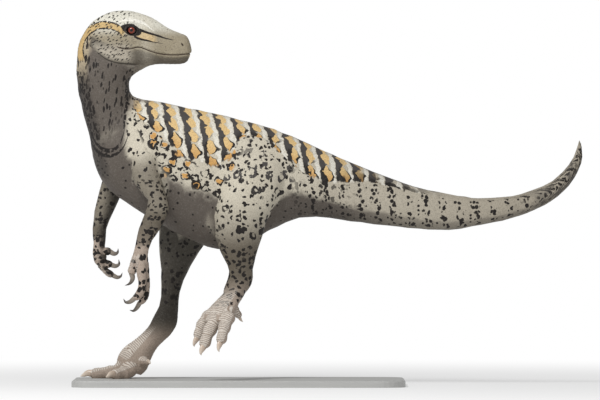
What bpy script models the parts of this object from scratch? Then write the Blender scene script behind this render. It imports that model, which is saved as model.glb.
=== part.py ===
"""A life-size herrerasaur in mid stride, its head turned back over its left flank, on a flat display base.

The animal faces -X, with its left side towards -Y and +Z up. Every length is in metres.
The origin is on the floor, under the middle of the whole model.
"""

import math

import bmesh
import bpy
from mathutils import Vector

# Driving dimensions
GAP = 0.0003
BASE_TOP = 0.04
BASE_LEFT, BASE_RIGHT = -1.528, 0.46
BASE_HALF_WIDTH = 0.48
BASE_CORNER = 0.16
BASE_BEVEL = 0.008
SOLE = BASE_TOP + GAP

# The trunk, from the snout to the tail tip. Each row is one cross-section: (x, z) where it meets the upper right
# outline, (x, z) on the lower left outline, half width, y of its middle, and egg, which widens it towards the first
# point. Along the neck, which turns half round, the throat comes onto the first outline and the nape onto the second.
TRUNK = [
    ((-0.824, 1.990), (-0.822, 2.040), 0.026, -0.060, 0.10),
    ((-0.843, 1.948), (-0.846, 2.095), 0.046, -0.060, 0.10),
    ((-0.876, 1.930), (-0.890, 2.118), 0.054, -0.060, 0.12),
    ((-0.930, 1.927), (-0.955, 2.142), 0.060, -0.060, 0.12),
    ((-0.985, 1.928), (-1.030, 2.190), 0.070, -0.060, 0.10),
    ((-1.026, 1.927), (-1.095, 2.222), 0.080, -0.060, 0.06),
    ((-1.062, 1.921), (-1.190, 2.246), 0.094, -0.060, 0.00),
    ((-1.092, 1.909), (-1.295, 2.244), 0.106, -0.060, -0.05),
    ((-1.128, 1.888), (-1.398, 2.190), 0.112, -0.060, -0.06),
    ((-1.158, 1.870), (-1.464, 2.114), 0.114, -0.058, 0.00),
    ((-1.180, 1.851), (-1.500, 2.010), 0.116, -0.056, 0.00),
    ((-1.194, 1.816), (-1.505, 1.845), 0.120, -0.048, 0.00),
    ((-1.190, 1.775), (-1.472, 1.655), 0.126, -0.032, 0.00),
    ((-1.180, 1.750), (-1.428, 1.490), 0.134, -0.015, 0.00),
    ((-1.162, 1.732), (-1.402, 1.342), 0.146, -0.004, -0.04),
    ((-1.105, 1.718), (-1.338, 1.205), 0.168, 0.000, -0.08),
    ((-1.010, 1.702), (-1.205, 1.095), 0.190, 0.000, -0.10),
    ((-0.880, 1.674), (-1.030, 0.985), 0.206, 0.000, -0.12),
    ((-0.740, 1.645), (-0.850, 0.888), 0.210, 0.000, -0.12),
    ((-0.600, 1.614), (-0.680, 0.824), 0.202, 0.000, -0.10),
    ((-0.456, 1.576), (-0.520, 0.836), 0.186, 0.000, -0.04),
    ((-0.312, 1.534), (-0.362, 0.926), 0.164, 0.000, 0.00),
    ((-0.180, 1.480), (-0.200, 0.998), 0.142, 0.000, 0.02),
    ((-0.036, 1.414), (-0.072, 1.014), 0.124, 0.000, 0.02),
    ((0.144, 1.336), (0.090, 0.994), 0.108, 0.002, 0.00),
    ((0.336, 1.258), (0.294, 0.967), 0.094, 0.004, 0.00),
    ((0.528, 1.192), (0.500, 0.946), 0.082, 0.008, 0.00),
    ((0.720, 1.150), (0.710, 0.934), 0.072, 0.012, 0.00),
    ((0.912, 1.126), (0.914, 0.964), 0.062, 0.016, 0.00),
    ((1.100, 1.138), (1.120, 1.010), 0.052, 0.020, 0.00),
    ((1.248, 1.180), (1.294, 1.080), 0.042, 0.022, 0.00),
    ((1.356, 1.234), (1.418, 1.172), 0.034, 0.024, 0.00),
    ((1.430, 1.306), (1.494, 1.266), 0.028, 0.025, 0.00),
    ((1.478, 1.380), (1.528, 1.364), 0.020, 0.026, 0.00),
    ((1.500, 1.446), (1.522, 1.442), 0.009, 0.026, 0.00),
]
TAIL_END = (1.510, 0.026, 1.480)
SNOUT_END = (-0.817, -0.060, 2.014)
# Node name, first and last row, cross-sections per row, and sides
TRUNK_NODES = [
    ("head", 0, 9, 2, 26),
    ("neck", 9, 14, 2, 24),
    ("torso", 14, 22, 2, 28),
    ("tail_base", 22, 25, 2, 22),
    ("tail_middle", 25, 29, 2, 18),
    ("tail_tip", 29, 34, 2, 14),
]

# The head's features, on the photo's profile: eye, brow, mouth line and nostril
EYE = (-1.175, 2.128)
EYE_RADIUS = 0.031
EYE_OUT = 0.074
LID_RADIUS = 0.033
LID_THICKNESS = 0.009
BROW = [(-1.245, 2.168), (-1.190, 2.178), (-1.130, 2.164), (-1.060, 2.138)]
BROW_OUT = [0.070, 0.076, 0.070, 0.050]
BROW_RADIUS = 0.013
CREST = [(-1.155, 2.218), (-1.085, 2.216), (-1.015, 2.164)]
CREST_OUT = 0.030
CREST_RADIUS = 0.012
MOUTH = [(-1.250, 2.024), (-1.200, 2.016), (-1.135, 2.027), (-1.090, 2.014), (-1.000, 1.986), (-0.900, 1.982)]
MOUTH_END = (-0.780, 1.995)
MOUTH_HEIGHT = 0.004
MOUTH_DEPTH = 0.008
NOSTRIL = (-0.868, 2.046)
NOSTRIL_OUT = 0.052
NOSTRIL_SIZE = (0.010, 0.010, 0.006)

# Limbs. Each row is a cross-section: (x, z) on the rear outline, (x, z) on the front outline, half width and y.
LEFT_ARM = [
    ((-1.010, 1.474), (-1.150, 1.438), 0.042, -0.135),
    ((-1.030, 1.354), (-1.172, 1.336), 0.058, -0.185),
    ((-0.996, 1.240), (-1.162, 1.234), 0.060, -0.218),
    ((-0.969, 1.144), (-1.110, 1.156), 0.054, -0.238),
    ((-0.952, 1.074), (-1.074, 1.108), 0.049, -0.250),
    ((-0.966, 1.012), (-1.092, 1.042), 0.048, -0.256),
    ((-1.002, 0.940), (-1.122, 0.964), 0.045, -0.260),
    ((-1.050, 0.874), (-1.143, 0.876), 0.038, -0.262),
    ((-1.071, 0.802), (-1.161, 0.802), 0.034, -0.262),
    ((-1.074, 0.735), (-1.176, 0.745), 0.032, -0.262),
    ((-1.090, 0.700), (-1.164, 0.708), 0.018, -0.262),
]
RIGHT_ARM = [
    ((-1.128, 1.372), (-1.262, 1.414), 0.042, 0.120),
    ((-1.200, 1.246), (-1.340, 1.282), 0.055, 0.160),
    ((-1.248, 1.134), (-1.380, 1.156), 0.055, 0.188),
    ((-1.300, 1.030), (-1.407, 1.036), 0.048, 0.200),
    ((-1.332, 0.946), (-1.419, 0.940), 0.042, 0.204),
    ((-1.341, 0.850), (-1.413, 0.850), 0.036, 0.206),
    ((-1.342, 0.806), (-1.418, 0.784), 0.034, 0.206),
    ((-1.334, 0.772), (-1.404, 0.734), 0.030, 0.208),
    ((-1.338, 0.744), (-1.378, 0.716), 0.016, 0.210),
]
LEFT_LEG = [
    ((-0.290, 1.420), (-0.545, 1.470), 0.045, -0.075),
    ((-0.266, 1.290), (-0.620, 1.310), 0.086, -0.140),
    ((-0.306, 1.120), (-0.669, 1.138), 0.100, -0.172),
    ((-0.368, 0.985), (-0.680, 0.982), 0.094, -0.188),
    ((-0.402, 0.876), (-0.666, 0.870), 0.080, -0.190),
    ((-0.429, 0.790), (-0.630, 0.780), 0.066, -0.180),
    ((-0.450, 0.706), (-0.594, 0.706), 0.053, -0.166),
    ((-0.449, 0.648), (-0.604, 0.640), 0.050, -0.158),
    ((-0.462, 0.596), (-0.622, 0.592), 0.052, -0.158),
    ((-0.505, 0.548), (-0.630, 0.552), 0.042, -0.168),
]
RIGHT_LEG = [
    ((-0.330, 1.214), (-0.570, 1.494), 0.045, 0.075),
    ((-0.444, 1.132), (-0.684, 1.408), 0.086, 0.140),
    ((-0.594, 1.024), (-0.816, 1.276), 0.096, 0.165),
    ((-0.696, 0.922), (-0.936, 1.102), 0.088, 0.178),
    ((-0.730, 0.868), (-1.006, 0.976), 0.080, 0.180),
    ((-0.772, 0.806), (-1.016, 0.856), 0.074, 0.178),
    ((-0.816, 0.730), (-1.008, 0.742), 0.066, 0.175),
    ((-0.868, 0.634), (-1.004, 0.634), 0.055, 0.172),
    ((-0.897, 0.544), (-1.004, 0.550), 0.048, 0.170),
    ((-0.903, 0.454), (-1.018, 0.478), 0.049, 0.170),
    ((-0.909, 0.366), (-1.054, 0.406), 0.054, 0.170),
    ((-0.946, 0.306), (-1.082, 0.352), 0.050, 0.170),
    ((-0.992, 0.262), (-1.124, 0.306), 0.052, 0.170),
    ((-1.034, 0.214), (-1.182, 0.258), 0.060, 0.170),
    ((-1.066, 0.154), (-1.232, 0.218), 0.070, 0.170),
    ((-1.092, 0.092), (-1.262, 0.176), 0.074, 0.170),
    ((-1.126, 0.058), (-1.274, 0.128), 0.066, 0.170),
]
# The rows where one node of a limb meets the next
ELBOW = {"left": 4, "right": 3}
WRIST = {"left": 8, "right": 5}
KNEE = 4
SHIN_END = {"left": 7, "right": 10}

# Fingers: middle line of each, its radii at the root and tip, and the claw's line beyond the tip
LEFT_FINGERS = [
    ([(-1.140, -0.262, 0.765), (-1.162, -0.264, 0.715), (-1.172, -0.266, 0.680)], (0.028, 0.022),
     [(-1.172, -0.266, 0.678), (-1.166, -0.267, 0.645), (-1.182, -0.268, 0.617), (-1.212, -0.268, 0.604)]),
    ([(-1.118, -0.274, 0.765), (-1.112, -0.284, 0.680), (-1.108, -0.286, 0.610), (-1.124, -0.284, 0.556),
      (-1.154, -0.280, 0.528)], (0.029, 0.020),
     [(-1.156, -0.280, 0.527), (-1.180, -0.279, 0.508), (-1.206, -0.278, 0.505), (-1.220, -0.278, 0.526)]),
    ([(-1.100, -0.248, 0.765), (-1.092, -0.238, 0.680), (-1.084, -0.235, 0.600), (-1.096, -0.235, 0.535),
      (-1.124, -0.237, 0.499)], (0.028, 0.019),
     [(-1.126, -0.237, 0.497), (-1.142, -0.238, 0.470), (-1.162, -0.238, 0.453), (-1.184, -0.239, 0.458)]),
]
RIGHT_FINGERS = [
    ([(-1.380, 0.196, 0.812), (-1.350, 0.188, 0.806), (-1.316, 0.186, 0.804)], (0.027, 0.021),
     [(-1.314, 0.186, 0.803), (-1.288, 0.185, 0.790), (-1.268, 0.185, 0.798), (-1.264, 0.185, 0.822)]),
    ([(-1.382, 0.200, 0.770), (-1.346, 0.202, 0.738), (-1.308, 0.202, 0.724)], (0.027, 0.020),
     [(-1.306, 0.202, 0.723), (-1.279, 0.202, 0.716), (-1.259, 0.202, 0.729), (-1.262, 0.202, 0.756)]),
    ([(-1.372, 0.214, 0.744), (-1.343, 0.221, 0.690), (-1.300, 0.224, 0.661)], (0.026, 0.019),
     [(-1.298, 0.224, 0.660), (-1.272, 0.224, 0.648), (-1.250, 0.224, 0.654), (-1.240, 0.224, 0.676)]),
]

# The standing foot's toes: root, heading in degrees from -X towards +Y, length, and radii at root and tip
STANDING_TOES = [
    ((-1.120, 0.125, 0.140), -118.0, 0.080, (0.029, 0.019)),
    ((-1.180, 0.140, 0.104), -50.0, 0.165, (0.046, 0.030)),
    ((-1.205, 0.168, 0.118), 2.0, 0.215, (0.050, 0.031)),
    ((-1.180, 0.200, 0.104), 30.0, 0.185, (0.046, 0.029)),
]
PAD_SINK = 0.006
PAD_SWELL = 0.07
STANDING_CLAW = 0.072
HALLUX_CLAW = 0.040

# The raised foot hangs from the ankle, turned out by this angle from -X towards -Y
FOOT_YAW = math.radians(48.0)
ANKLE = (-0.524, -0.158, 0.620)
METATARSUS = [(0.020, -0.034, 0.050, 0.054), (0.070, -0.084, 0.050, 0.066), (0.150, -0.150, 0.048, 0.088),
              (0.215, -0.200, 0.046, 0.104), (0.250, -0.236, 0.034, 0.096)]
# Each toe: how far ahead, outward and below the ankle its root is, its lean ahead and outward, length, and radii at
# root and tip
RAISED_TOES = [
    ((0.050, -0.020, 0.120), (-0.60, 0.16), 0.095, (0.028, 0.018)),
    ((0.185, -0.064, 0.185), (0.62, -0.20), 0.165, (0.044, 0.028)),
    ((0.195, 0.010, 0.190), (0.72, 0.00), 0.225, (0.047, 0.030)),
    ((0.185, 0.088, 0.185), (0.62, 0.12), 0.195, (0.043, 0.028)),
]
RAISED_CLAW = 0.068

# Colour, roughness and metallic value of each material
SKIN = ((0.56, 0.52, 0.46), 0.62, 0.0)
EYEBALL = ((0.20, 0.05, 0.02), 0.12, 0.0)
CLAW = ((0.46, 0.41, 0.36), 0.35, 0.0)
STAND = ((0.72, 0.72, 0.71), 0.55, 0.0)


def clear_scene():
    for obj in list(bpy.data.objects):
        bpy.data.objects.remove(obj)


def spline(rows, at):
    """The row at a place between rows, on a Catmull-Rom curve through them. A row is a flat tuple of numbers."""
    last = len(rows) - 1
    i = min(int(at), last - 1)
    t = at - i
    before, here, after, beyond = (rows[min(max(k, 0), last)] for k in (i - 1, i, i + 1, i + 2))
    return tuple(
        0.5 * (2 * b + (c - a) * t + (2 * a - 5 * b + 4 * c - d) * t**2 + (3 * b - a - 3 * c + d) * t**3)
        for a, b, c, d in zip(before, here, after, beyond)
    )


def flat_row(row):
    first, second, *rest = row
    return (*first, *second, *rest)


def section(row, sides, grow=0.0):
    """One closed ring in the plane through both outline points and the Y axis."""
    x1, z1, x2, z2, half_width, y, egg = row
    middle = Vector(((x1 + x2) / 2, y, (z1 + z2) / 2))
    up = Vector(((x1 - x2) / 2, 0.0, (z1 - z2) / 2))
    up *= 1 + grow / up.length
    ring = []
    for k in range(sides):
        angle = 2 * math.pi * k / sides
        c, s = math.cos(angle), math.sin(angle)
        ring.append(middle + up * c + Vector((0, (half_width + grow) * s * (1 + egg * c), 0)))
    return ring


def outline_rings(rows, first, last, per_row, sides, grow=0.0):
    """Rings along the rows from first to last, pulled in at both ends by half the gap between touching nodes."""
    flat = [flat_row(row) if len(row) == 5 else (*flat_row(row), 0.0) for row in rows]
    count = (last - first) * per_row
    rings = [section(spline(flat, first + k / per_row), sides, grow) for k in range(count + 1)]
    for end, inner in ((0, 1), (-1, -2)):
        step = centre_of(rings[inner]) - centre_of(rings[end])
        shift = step.normalized() * (GAP / 2)
        rings[end] = [point + shift for point in rings[end]]
    return rings


def centre_of(ring):
    return sum(ring, Vector()) / len(ring)


def tube_rings(points, radii, side, sides, steps, pads=0):
    """Rings round a smooth line through the points. radii holds the root's and the tip's, or (depth, width) per
    point. side is the ring's width direction, and pads swells that many joints."""
    widths = radii if isinstance(radii[0], tuple) else None
    rows = [(*p, *(widths[i] if widths else (0.0, 0.0))) for i, p in enumerate(points)]
    last = len(points) - 1
    side = Vector(side)
    rings = []
    for k in range(steps + 1):
        share = k / steps
        x, y, z, depth, width = spline(rows, share * last)
        ahead = Vector(spline(rows, min(share * last + 0.05, last))[:3])
        behind = Vector(spline(rows, max(share * last - 0.05, 0))[:3])
        tangent = (ahead - behind).normalized()
        if not widths:
            swell = 1 - (PAD_SWELL * math.cos(2 * math.pi * pads * share) if pads else 0.0)
            depth = width = (radii[0] + (radii[1] - radii[0]) * share) * swell * min(1.0, 0.6 + 4 * share)
        across = (side - tangent * side.dot(tangent)).normalized()
        up = tangent.cross(across)
        ring = []
        for j in range(sides):
            angle = 2 * math.pi * j / sides
            ring.append(Vector((x, y, z)) + up * depth * math.cos(angle) + across * width * math.sin(angle))
        rings.append(ring)
    return rings


def mesh_object(name, rings, material, tip=None, start=None):
    """A closed mesh through the rings, with flat ends, or pointed where tip or start gives a point."""
    bm = bmesh.new()
    loops = [[bm.verts.new(p) for p in ring] for ring in rings]
    for a, b in zip(loops, loops[1:]):
        for k in range(len(a)):
            j = (k + 1) % len(a)
            bm.faces.new((a[k], a[j], b[j], b[k]))
    for loop, point in ((loops[0], start), (loops[-1], tip)):
        if point is None:
            bm.faces.new(loop)
            continue
        apex = bm.verts.new(point)
        for k in range(len(loop)):
            bm.faces.new((loop[k], loop[(k + 1) % len(loop)], apex))
    return finished(bm, name, material)


def finished(bm, name, material):
    """The bmesh as a triangulated, smooth-shaded object whose faces point out."""
    bmesh.ops.recalc_face_normals(bm, faces=bm.faces)
    bmesh.ops.triangulate(bm, faces=bm.faces)
    mesh = bpy.data.meshes.new(name)
    bm.to_mesh(mesh)
    bm.free()
    obj = bpy.data.objects.new(name, mesh)
    bpy.context.scene.collection.objects.link(obj)
    mesh.materials.append(material)
    mesh.shade_smooth()
    mesh.set_sharp_from_angle(angle=math.radians(50))
    return obj


def ball(name, centre, size, material, segments=16, rings=10):
    """An ellipsoid with these half sizes."""
    bm = bmesh.new()
    bmesh.ops.create_uvsphere(bm, u_segments=segments, v_segments=rings, radius=1.0)
    for vert in bm.verts:
        vert.co = Vector((vert.co.x * size[0], vert.co.y * size[1], vert.co.z * size[2])) + Vector(centre)
    return finished(bm, name, material)


def largest_surface(obj):
    """Keeps the closed surface with the most faces."""
    bm = bmesh.new()
    bm.from_mesh(obj.data)
    left = set(bm.faces)
    parts = []
    while left:
        grown = {left.pop()}
        edge_faces = list(grown)
        while edge_faces:
            face = edge_faces.pop()
            for edge in face.edges:
                for other in edge.link_faces:
                    if other in left:
                        left.discard(other)
                        grown.add(other)
                        edge_faces.append(other)
        parts.append(grown)
    parts.sort(key=lambda part: sum(face.calc_area() for face in part))
    drop = [face for part in parts[:-1] for face in part]
    if drop:
        bmesh.ops.delete(bm, geom=drop, context="FACES")
        bm.to_mesh(obj.data)
    bm.free()


def boolean(obj, others, operation):
    """Applies one Boolean with the other objects to obj, and removes them."""
    group = bpy.data.collections.new("operands")
    bpy.context.scene.collection.children.link(group)
    for other in others:
        group.objects.link(other)
    modifier = obj.modifiers.new("join", "BOOLEAN")
    modifier.operation = operation
    modifier.operand_type = "COLLECTION"
    modifier.collection = group
    modifier.solver = "EXACT"
    bpy.context.view_layer.update()
    graph = bpy.context.evaluated_depsgraph_get()
    made = bpy.data.meshes.new_from_object(obj.evaluated_get(graph))
    obj.modifiers.clear()
    obj.data = made
    for other in others:
        bpy.data.objects.remove(other)
    bpy.data.collections.remove(group)
    largest_surface(obj)
    return obj


def flatten_sole(obj):
    """Cuts off whatever lies under the sole's level, which leaves small flats."""
    bm = bmesh.new()
    bm.from_mesh(obj.data)
    everything = bm.verts[:] + bm.edges[:] + bm.faces[:]
    cut = bmesh.ops.bisect_plane(
        bm, geom=everything, plane_co=(0, 0, SOLE), plane_no=(0, 0, -1), clear_outer=True, dist=1e-6
    )
    rim = [edge for edge in cut["geom_cut"] if isinstance(edge, bmesh.types.BMEdge)]
    bmesh.ops.holes_fill(bm, edges=rim)
    bmesh.ops.triangulate(bm, faces=bm.faces)
    bmesh.ops.recalc_face_normals(bm, faces=bm.faces)
    bm.to_mesh(obj.data)
    bm.free()


def mirrored_sides(head_y):
    return (("left", head_y, -1.0), ("right", head_y, 1.0))


def trunk_node(node, material, grow=0.0, suffix=""):
    name, first, last, per_row, sides = node
    rings = outline_rings(TRUNK, first, last, per_row, sides, grow)
    start = Vector(SNOUT_END) if name == "head" else None
    tip = Vector(TAIL_END) if name == "tail_tip" else None
    return mesh_object(name + suffix, rings, material, tip=tip, start=start)


def mouth_cutter(material):
    """A thin band that follows the mouth line round the snout, hollow where the head's core stays."""
    line = [*MOUTH, MOUTH_END]
    steps = 16
    bm = bmesh.new()
    previous = None
    reach = 0.2
    for k in range(steps + 1):
        x, z = spline(line, (len(line) - 1) * k / steps)
        taper = MOUTH_HEIGHT / 2 * min(1.0, 0.25 + k / 4)
        corners = ((-reach, -taper), (reach, -taper), (reach, taper), (-reach, taper))
        verts = [bm.verts.new((x, y + TRUNK[0][3], z + dz)) for y, dz in corners]
        if previous:
            for a in range(4):
                b = (a + 1) % 4
                bm.faces.new((previous[a], previous[b], verts[b], verts[a]))
        else:
            bm.faces.new(verts)
        previous = verts
    bm.faces.new(previous)
    band = finished(bm, "mouth_band", material)
    core = mesh_object(
        "mouth_core",
        outline_rings(TRUNK, 1, 9, 2, 26, -MOUTH_DEPTH),
        material,
        start=Vector(SNOUT_END) + Vector((-MOUTH_DEPTH, 0, 0)),
    )
    return boolean(band, [core], "DIFFERENCE")


def add_head(skin, eyeball):
    """The skull and jaws with brows, lids, eye sockets, the mouth's line and nostrils, and both eyes."""
    head = trunk_node(TRUNK_NODES[0], skin)
    middle = TRUNK[0][3]
    joined, cut = [], []
    for side, head_y, out in mirrored_sides(middle):
        socket = Vector((EYE[0], head_y + out * EYE_OUT, EYE[1]))
        brow = [(x, head_y + out * y, z) for (x, z), y in zip(BROW, BROW_OUT)]
        radii = [(BROW_RADIUS * share, BROW_RADIUS * share) for share in (0.6, 1.0, 1.0, 0.6)]
        joined.append(mesh_object("brow", tube_rings(brow, radii, (0, 1, 0), 10, 8), skin))
        crest = [(x, head_y + out * CREST_OUT, z) for x, z in CREST]
        radii = [(CREST_RADIUS * share, CREST_RADIUS * share) for share in (0.4, 1.0, 0.4)]
        joined.append(mesh_object("crest", tube_rings(crest, radii, (0, 1, 0), 8, 6), skin))
        lid_size = (LID_RADIUS + LID_THICKNESS, EYE_RADIUS * 0.92, LID_RADIUS + LID_THICKNESS * 0.6)
        joined.append(ball("lids", socket, lid_size, skin, 14, 8))
        opening = socket + Vector((0, out * (EYE_RADIUS * 0.55), 0))
        cut.append(ball("lid_opening", opening, (EYE_RADIUS * 0.90, EYE_RADIUS * 0.8, EYE_RADIUS * 0.78), skin, 14, 8))
        hollow = EYE_RADIUS + GAP
        cut.append(ball("socket", socket, (hollow, hollow, hollow), skin, 14, 8))
        nose = (NOSTRIL[0], head_y + out * NOSTRIL_OUT, NOSTRIL[1])
        cut.append(ball("nostril", nose, NOSTRIL_SIZE, skin, 8, 6))
        ball(side + "_eye", socket, (EYE_RADIUS,) * 3, eyeball, 14, 8)
    boolean(head, joined, "UNION")
    boolean(head, cut, "DIFFERENCE")
    boolean(head, [mouth_cutter(skin)], "DIFFERENCE")


def limb(name, rows, first, last, sides, skin, grow=0.0, per_row=2):
    return mesh_object(name, outline_rings(rows, first, last, per_row, sides, grow), skin)


def body_cutters(skin):
    """The torso and the tail's root, grown by the gap, to cut a limb's root to their surface."""
    return [trunk_node(node, skin, GAP, "_cutter") for node in TRUNK_NODES[2:4]]


def add_claw(name, points, radius, side, material, root):
    """A curved claw whose flat root faces the last of the finger's or toe's rings, one gap away."""
    shares = (1.0, 0.86, 0.55, 0.10)
    radii = [(radius * share, radius * share * 0.72) for share in shares]
    rings = tube_rings(points, radii, side, 8, 6)
    middle = centre_of(root)
    out = (root[1] - middle).cross(root[2] - middle).normalized()
    if out.dot(Vector(points[-1]) - Vector(points[0])) < 0:
        out.negate()
    for number, ring in enumerate(rings):
        for k, point in enumerate(ring):
            beyond = (point - middle).dot(out)
            least = GAP + 0.0015 * number
            if number == 0 or beyond < least:
                ring[k] = point + out * (least - beyond)
    mesh_object(name, rings, material)


def add_arm(side, rows, fingers, skin, claw):
    elbow, wrist = ELBOW[side], WRIST[side]
    upper = limb(side + "_upper_arm", rows, 0, elbow, 14, skin)
    boolean(upper, body_cutters(skin), "DIFFERENCE")
    limb(side + "_forearm", rows, elbow, wrist, 14, skin)
    hand = limb(side + "_hand", rows, wrist, len(rows) - 1, 14, skin)
    digits = []
    for number, (line, radii, claw_line) in enumerate(fingers, 1):
        rings = tube_rings(line, radii, (0, 1, 0), 8, 3 * len(line), pads=len(line) - 1)
        digits.append(mesh_object("digit", rings, skin))
        add_claw(f"{side}_hand_claw_{number}", claw_line, radii[1] * 0.76, (0, 1, 0), claw, rings[-1])
    boolean(hand, digits, "UNION")


def add_standing_leg(skin, claw):
    thigh = limb("right_thigh", RIGHT_LEG, 0, KNEE, 20, skin)
    boolean(thigh, body_cutters(skin), "DIFFERENCE")
    shin = limb("right_shin", RIGHT_LEG, KNEE, SHIN_END["right"], 18, skin)
    boolean(shin, body_cutters(skin), "DIFFERENCE")
    foot = limb("right_foot", RIGHT_LEG, SHIN_END["right"], len(RIGHT_LEG) - 1, 16, skin)
    toes = []
    for number, (root, heading, length, radii) in enumerate(STANDING_TOES, 1):
        angle = math.radians(heading)
        along = Vector((-math.cos(angle), math.sin(angle), 0))
        across = Vector((math.sin(angle), math.cos(angle), 0))
        root = Vector(root)
        thickness = [radii[0] + (radii[1] - radii[0]) * k / 3 for k in range(4)]
        heights = [SOLE + radius - PAD_SINK if number > 1 else root.z for radius in thickness]
        heights[0] = root.z
        line = [root + along * length * k / 3 + Vector((0, 0, heights[k] - root.z)) for k in range(4)]
        rings = tube_rings([tuple(p) for p in line], radii, across, 10, 11, pads=3)
        toes.append(mesh_object("toe", rings, skin))
        reach = STANDING_CLAW if number > 1 else HALLUX_CLAW
        drop = 0.25 if number > 1 else 0.30
        end = line[-1] + Vector((0, 0, radii[1] * 0.12))
        shape = ((0.0, 0.0), (0.36, 0.02), (0.72, -0.14), (1.0, -drop))
        points = [end + along * reach * a + Vector((0, 0, reach * b)) for a, b in shape]
        points = [tuple(p) for p in points]
        add_claw(f"right_foot_claw_{number}", points, radii[1] * 0.74, across, claw, rings[-1])
    boolean(foot, toes, "UNION")
    flatten_sole(foot)


def add_raised_leg(skin, claw):
    thigh = limb("left_thigh", LEFT_LEG, 0, KNEE, 20, skin)
    boolean(thigh, body_cutters(skin), "DIFFERENCE")
    limb("left_shin", LEFT_LEG, KNEE, SHIN_END["left"], 18, skin)
    foot = limb("left_foot", LEFT_LEG, SHIN_END["left"], len(LEFT_LEG) - 1, 16, skin)
    ahead = Vector((-math.cos(FOOT_YAW), -math.sin(FOOT_YAW), 0))
    outward = Vector((math.sin(FOOT_YAW), -math.cos(FOOT_YAW), 0))
    down = Vector((0, 0, -1))
    ankle = Vector(ANKLE)
    line = [tuple(ankle + ahead * f + down * -z) for f, z, _, _ in METATARSUS]
    sizes = [(depth, width) for _, _, depth, width in METATARSUS]
    pieces = [mesh_object("metatarsus", tube_rings(line, sizes, outward, 16, 10), skin)]
    for number, (root, (lean, spread), length, radii) in enumerate(RAISED_TOES, 1):
        root = ankle + ahead * root[0] + outward * root[1] + down * root[2]
        way = (ahead * lean + down + outward * spread).normalized()
        bend = (ahead * 0.1 + outward * spread * 0.2) * length
        toe = [tuple(root + way * length * k / 3 + bend * math.sin(math.pi * k / 3)) for k in range(4)]
        rings = tube_rings(toe, radii, outward, 10, 11, pads=3)
        pieces.append(mesh_object("toe", rings, skin))
        reach = RAISED_CLAW if number > 1 else HALLUX_CLAW
        end = Vector(toe[-1]) + ahead * radii[1] * 0.15
        shape = ((0.0, 0.0), (0.36, 0.05), (0.72, -0.02), (1.0, -0.24))
        points = [tuple(end + way * reach * a + ahead * reach * b) for a, b in shape]
        add_claw(f"left_foot_claw_{number}", points, radii[1] * 0.74, outward, claw, rings[-1])
    boolean(foot, pieces, "UNION")


def add_base(material):
    """A flat plate with round corners and a small bevel along its top edge."""
    steps = 8
    rings = []
    for inset, z in ((0.0, 0.0), (0.0, BASE_TOP - BASE_BEVEL), (BASE_BEVEL, BASE_TOP)):
        ring = []
        for quarter in range(4):
            sx = 1 if quarter in (0, 3) else -1
            sy = 1 if quarter < 2 else -1
            corner_x = (BASE_RIGHT if sx > 0 else BASE_LEFT) - sx * BASE_CORNER
            corner_y = sy * (BASE_HALF_WIDTH - BASE_CORNER)
            for k in range(steps + 1):
                angle = math.pi / 2 * (quarter + k / steps)
                radius = BASE_CORNER - inset
                ring.append(Vector((corner_x + radius * math.cos(angle), corner_y + radius * math.sin(angle), z)))
        rings.append(ring)
    mesh_object("stand_base", rings, material)


def make_material(name, look):
    colour, roughness, metallic = look
    material = bpy.data.materials.new(name)
    material.use_nodes = True
    shader = material.node_tree.nodes["Principled BSDF"]
    shader.inputs["Base Color"].default_value = (*colour, 1.0)
    shader.inputs["Roughness"].default_value = roughness
    shader.inputs["Metallic"].default_value = metallic
    return material


def main():
    clear_scene()
    skin = make_material("skin", SKIN)
    eyeball = make_material("eye", EYEBALL)
    claw = make_material("claw", CLAW)
    add_head(skin, eyeball)
    for node in TRUNK_NODES[1:]:
        trunk_node(node, skin)
    add_arm("left", LEFT_ARM, LEFT_FINGERS, skin, claw)
    add_arm("right", RIGHT_ARM, RIGHT_FINGERS, skin, claw)
    add_raised_leg(skin, claw)
    add_standing_leg(skin, claw)
    add_base(make_material("stand", STAND))


main()
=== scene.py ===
"""The looks of a life-size herrerasaur: one skin over the whole body, with eyes, claws and a display base.

Lengths are in metres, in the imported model's frame: the animal faces -X and its left side is towards -Y.
"""

import math

import bmesh
import bpy
import numpy as np
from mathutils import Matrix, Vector


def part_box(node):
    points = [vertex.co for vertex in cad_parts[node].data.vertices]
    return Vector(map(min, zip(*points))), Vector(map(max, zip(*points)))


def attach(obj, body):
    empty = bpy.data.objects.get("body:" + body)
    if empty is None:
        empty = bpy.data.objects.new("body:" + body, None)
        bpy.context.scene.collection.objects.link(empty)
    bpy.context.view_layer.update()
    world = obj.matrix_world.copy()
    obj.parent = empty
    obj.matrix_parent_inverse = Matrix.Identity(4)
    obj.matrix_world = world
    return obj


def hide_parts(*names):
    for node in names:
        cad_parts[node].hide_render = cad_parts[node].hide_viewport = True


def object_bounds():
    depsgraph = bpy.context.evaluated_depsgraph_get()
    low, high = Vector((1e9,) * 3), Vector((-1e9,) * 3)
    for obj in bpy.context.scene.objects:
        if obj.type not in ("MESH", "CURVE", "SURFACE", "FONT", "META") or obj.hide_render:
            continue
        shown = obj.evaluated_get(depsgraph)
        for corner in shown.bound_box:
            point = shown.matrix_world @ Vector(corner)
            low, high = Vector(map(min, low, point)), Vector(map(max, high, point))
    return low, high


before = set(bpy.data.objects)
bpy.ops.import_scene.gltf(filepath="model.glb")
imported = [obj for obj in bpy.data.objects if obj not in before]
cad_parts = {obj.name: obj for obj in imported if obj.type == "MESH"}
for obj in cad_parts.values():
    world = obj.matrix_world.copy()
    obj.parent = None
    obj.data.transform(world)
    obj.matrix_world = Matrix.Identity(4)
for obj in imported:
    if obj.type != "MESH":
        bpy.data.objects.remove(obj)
cad_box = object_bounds()

# The fineness of the skin: the size of its first cells, and how many triangles it keeps
FINE_CELL = 0.0036
CELL = FINE_CELL
TRIANGLES = 190000

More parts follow.
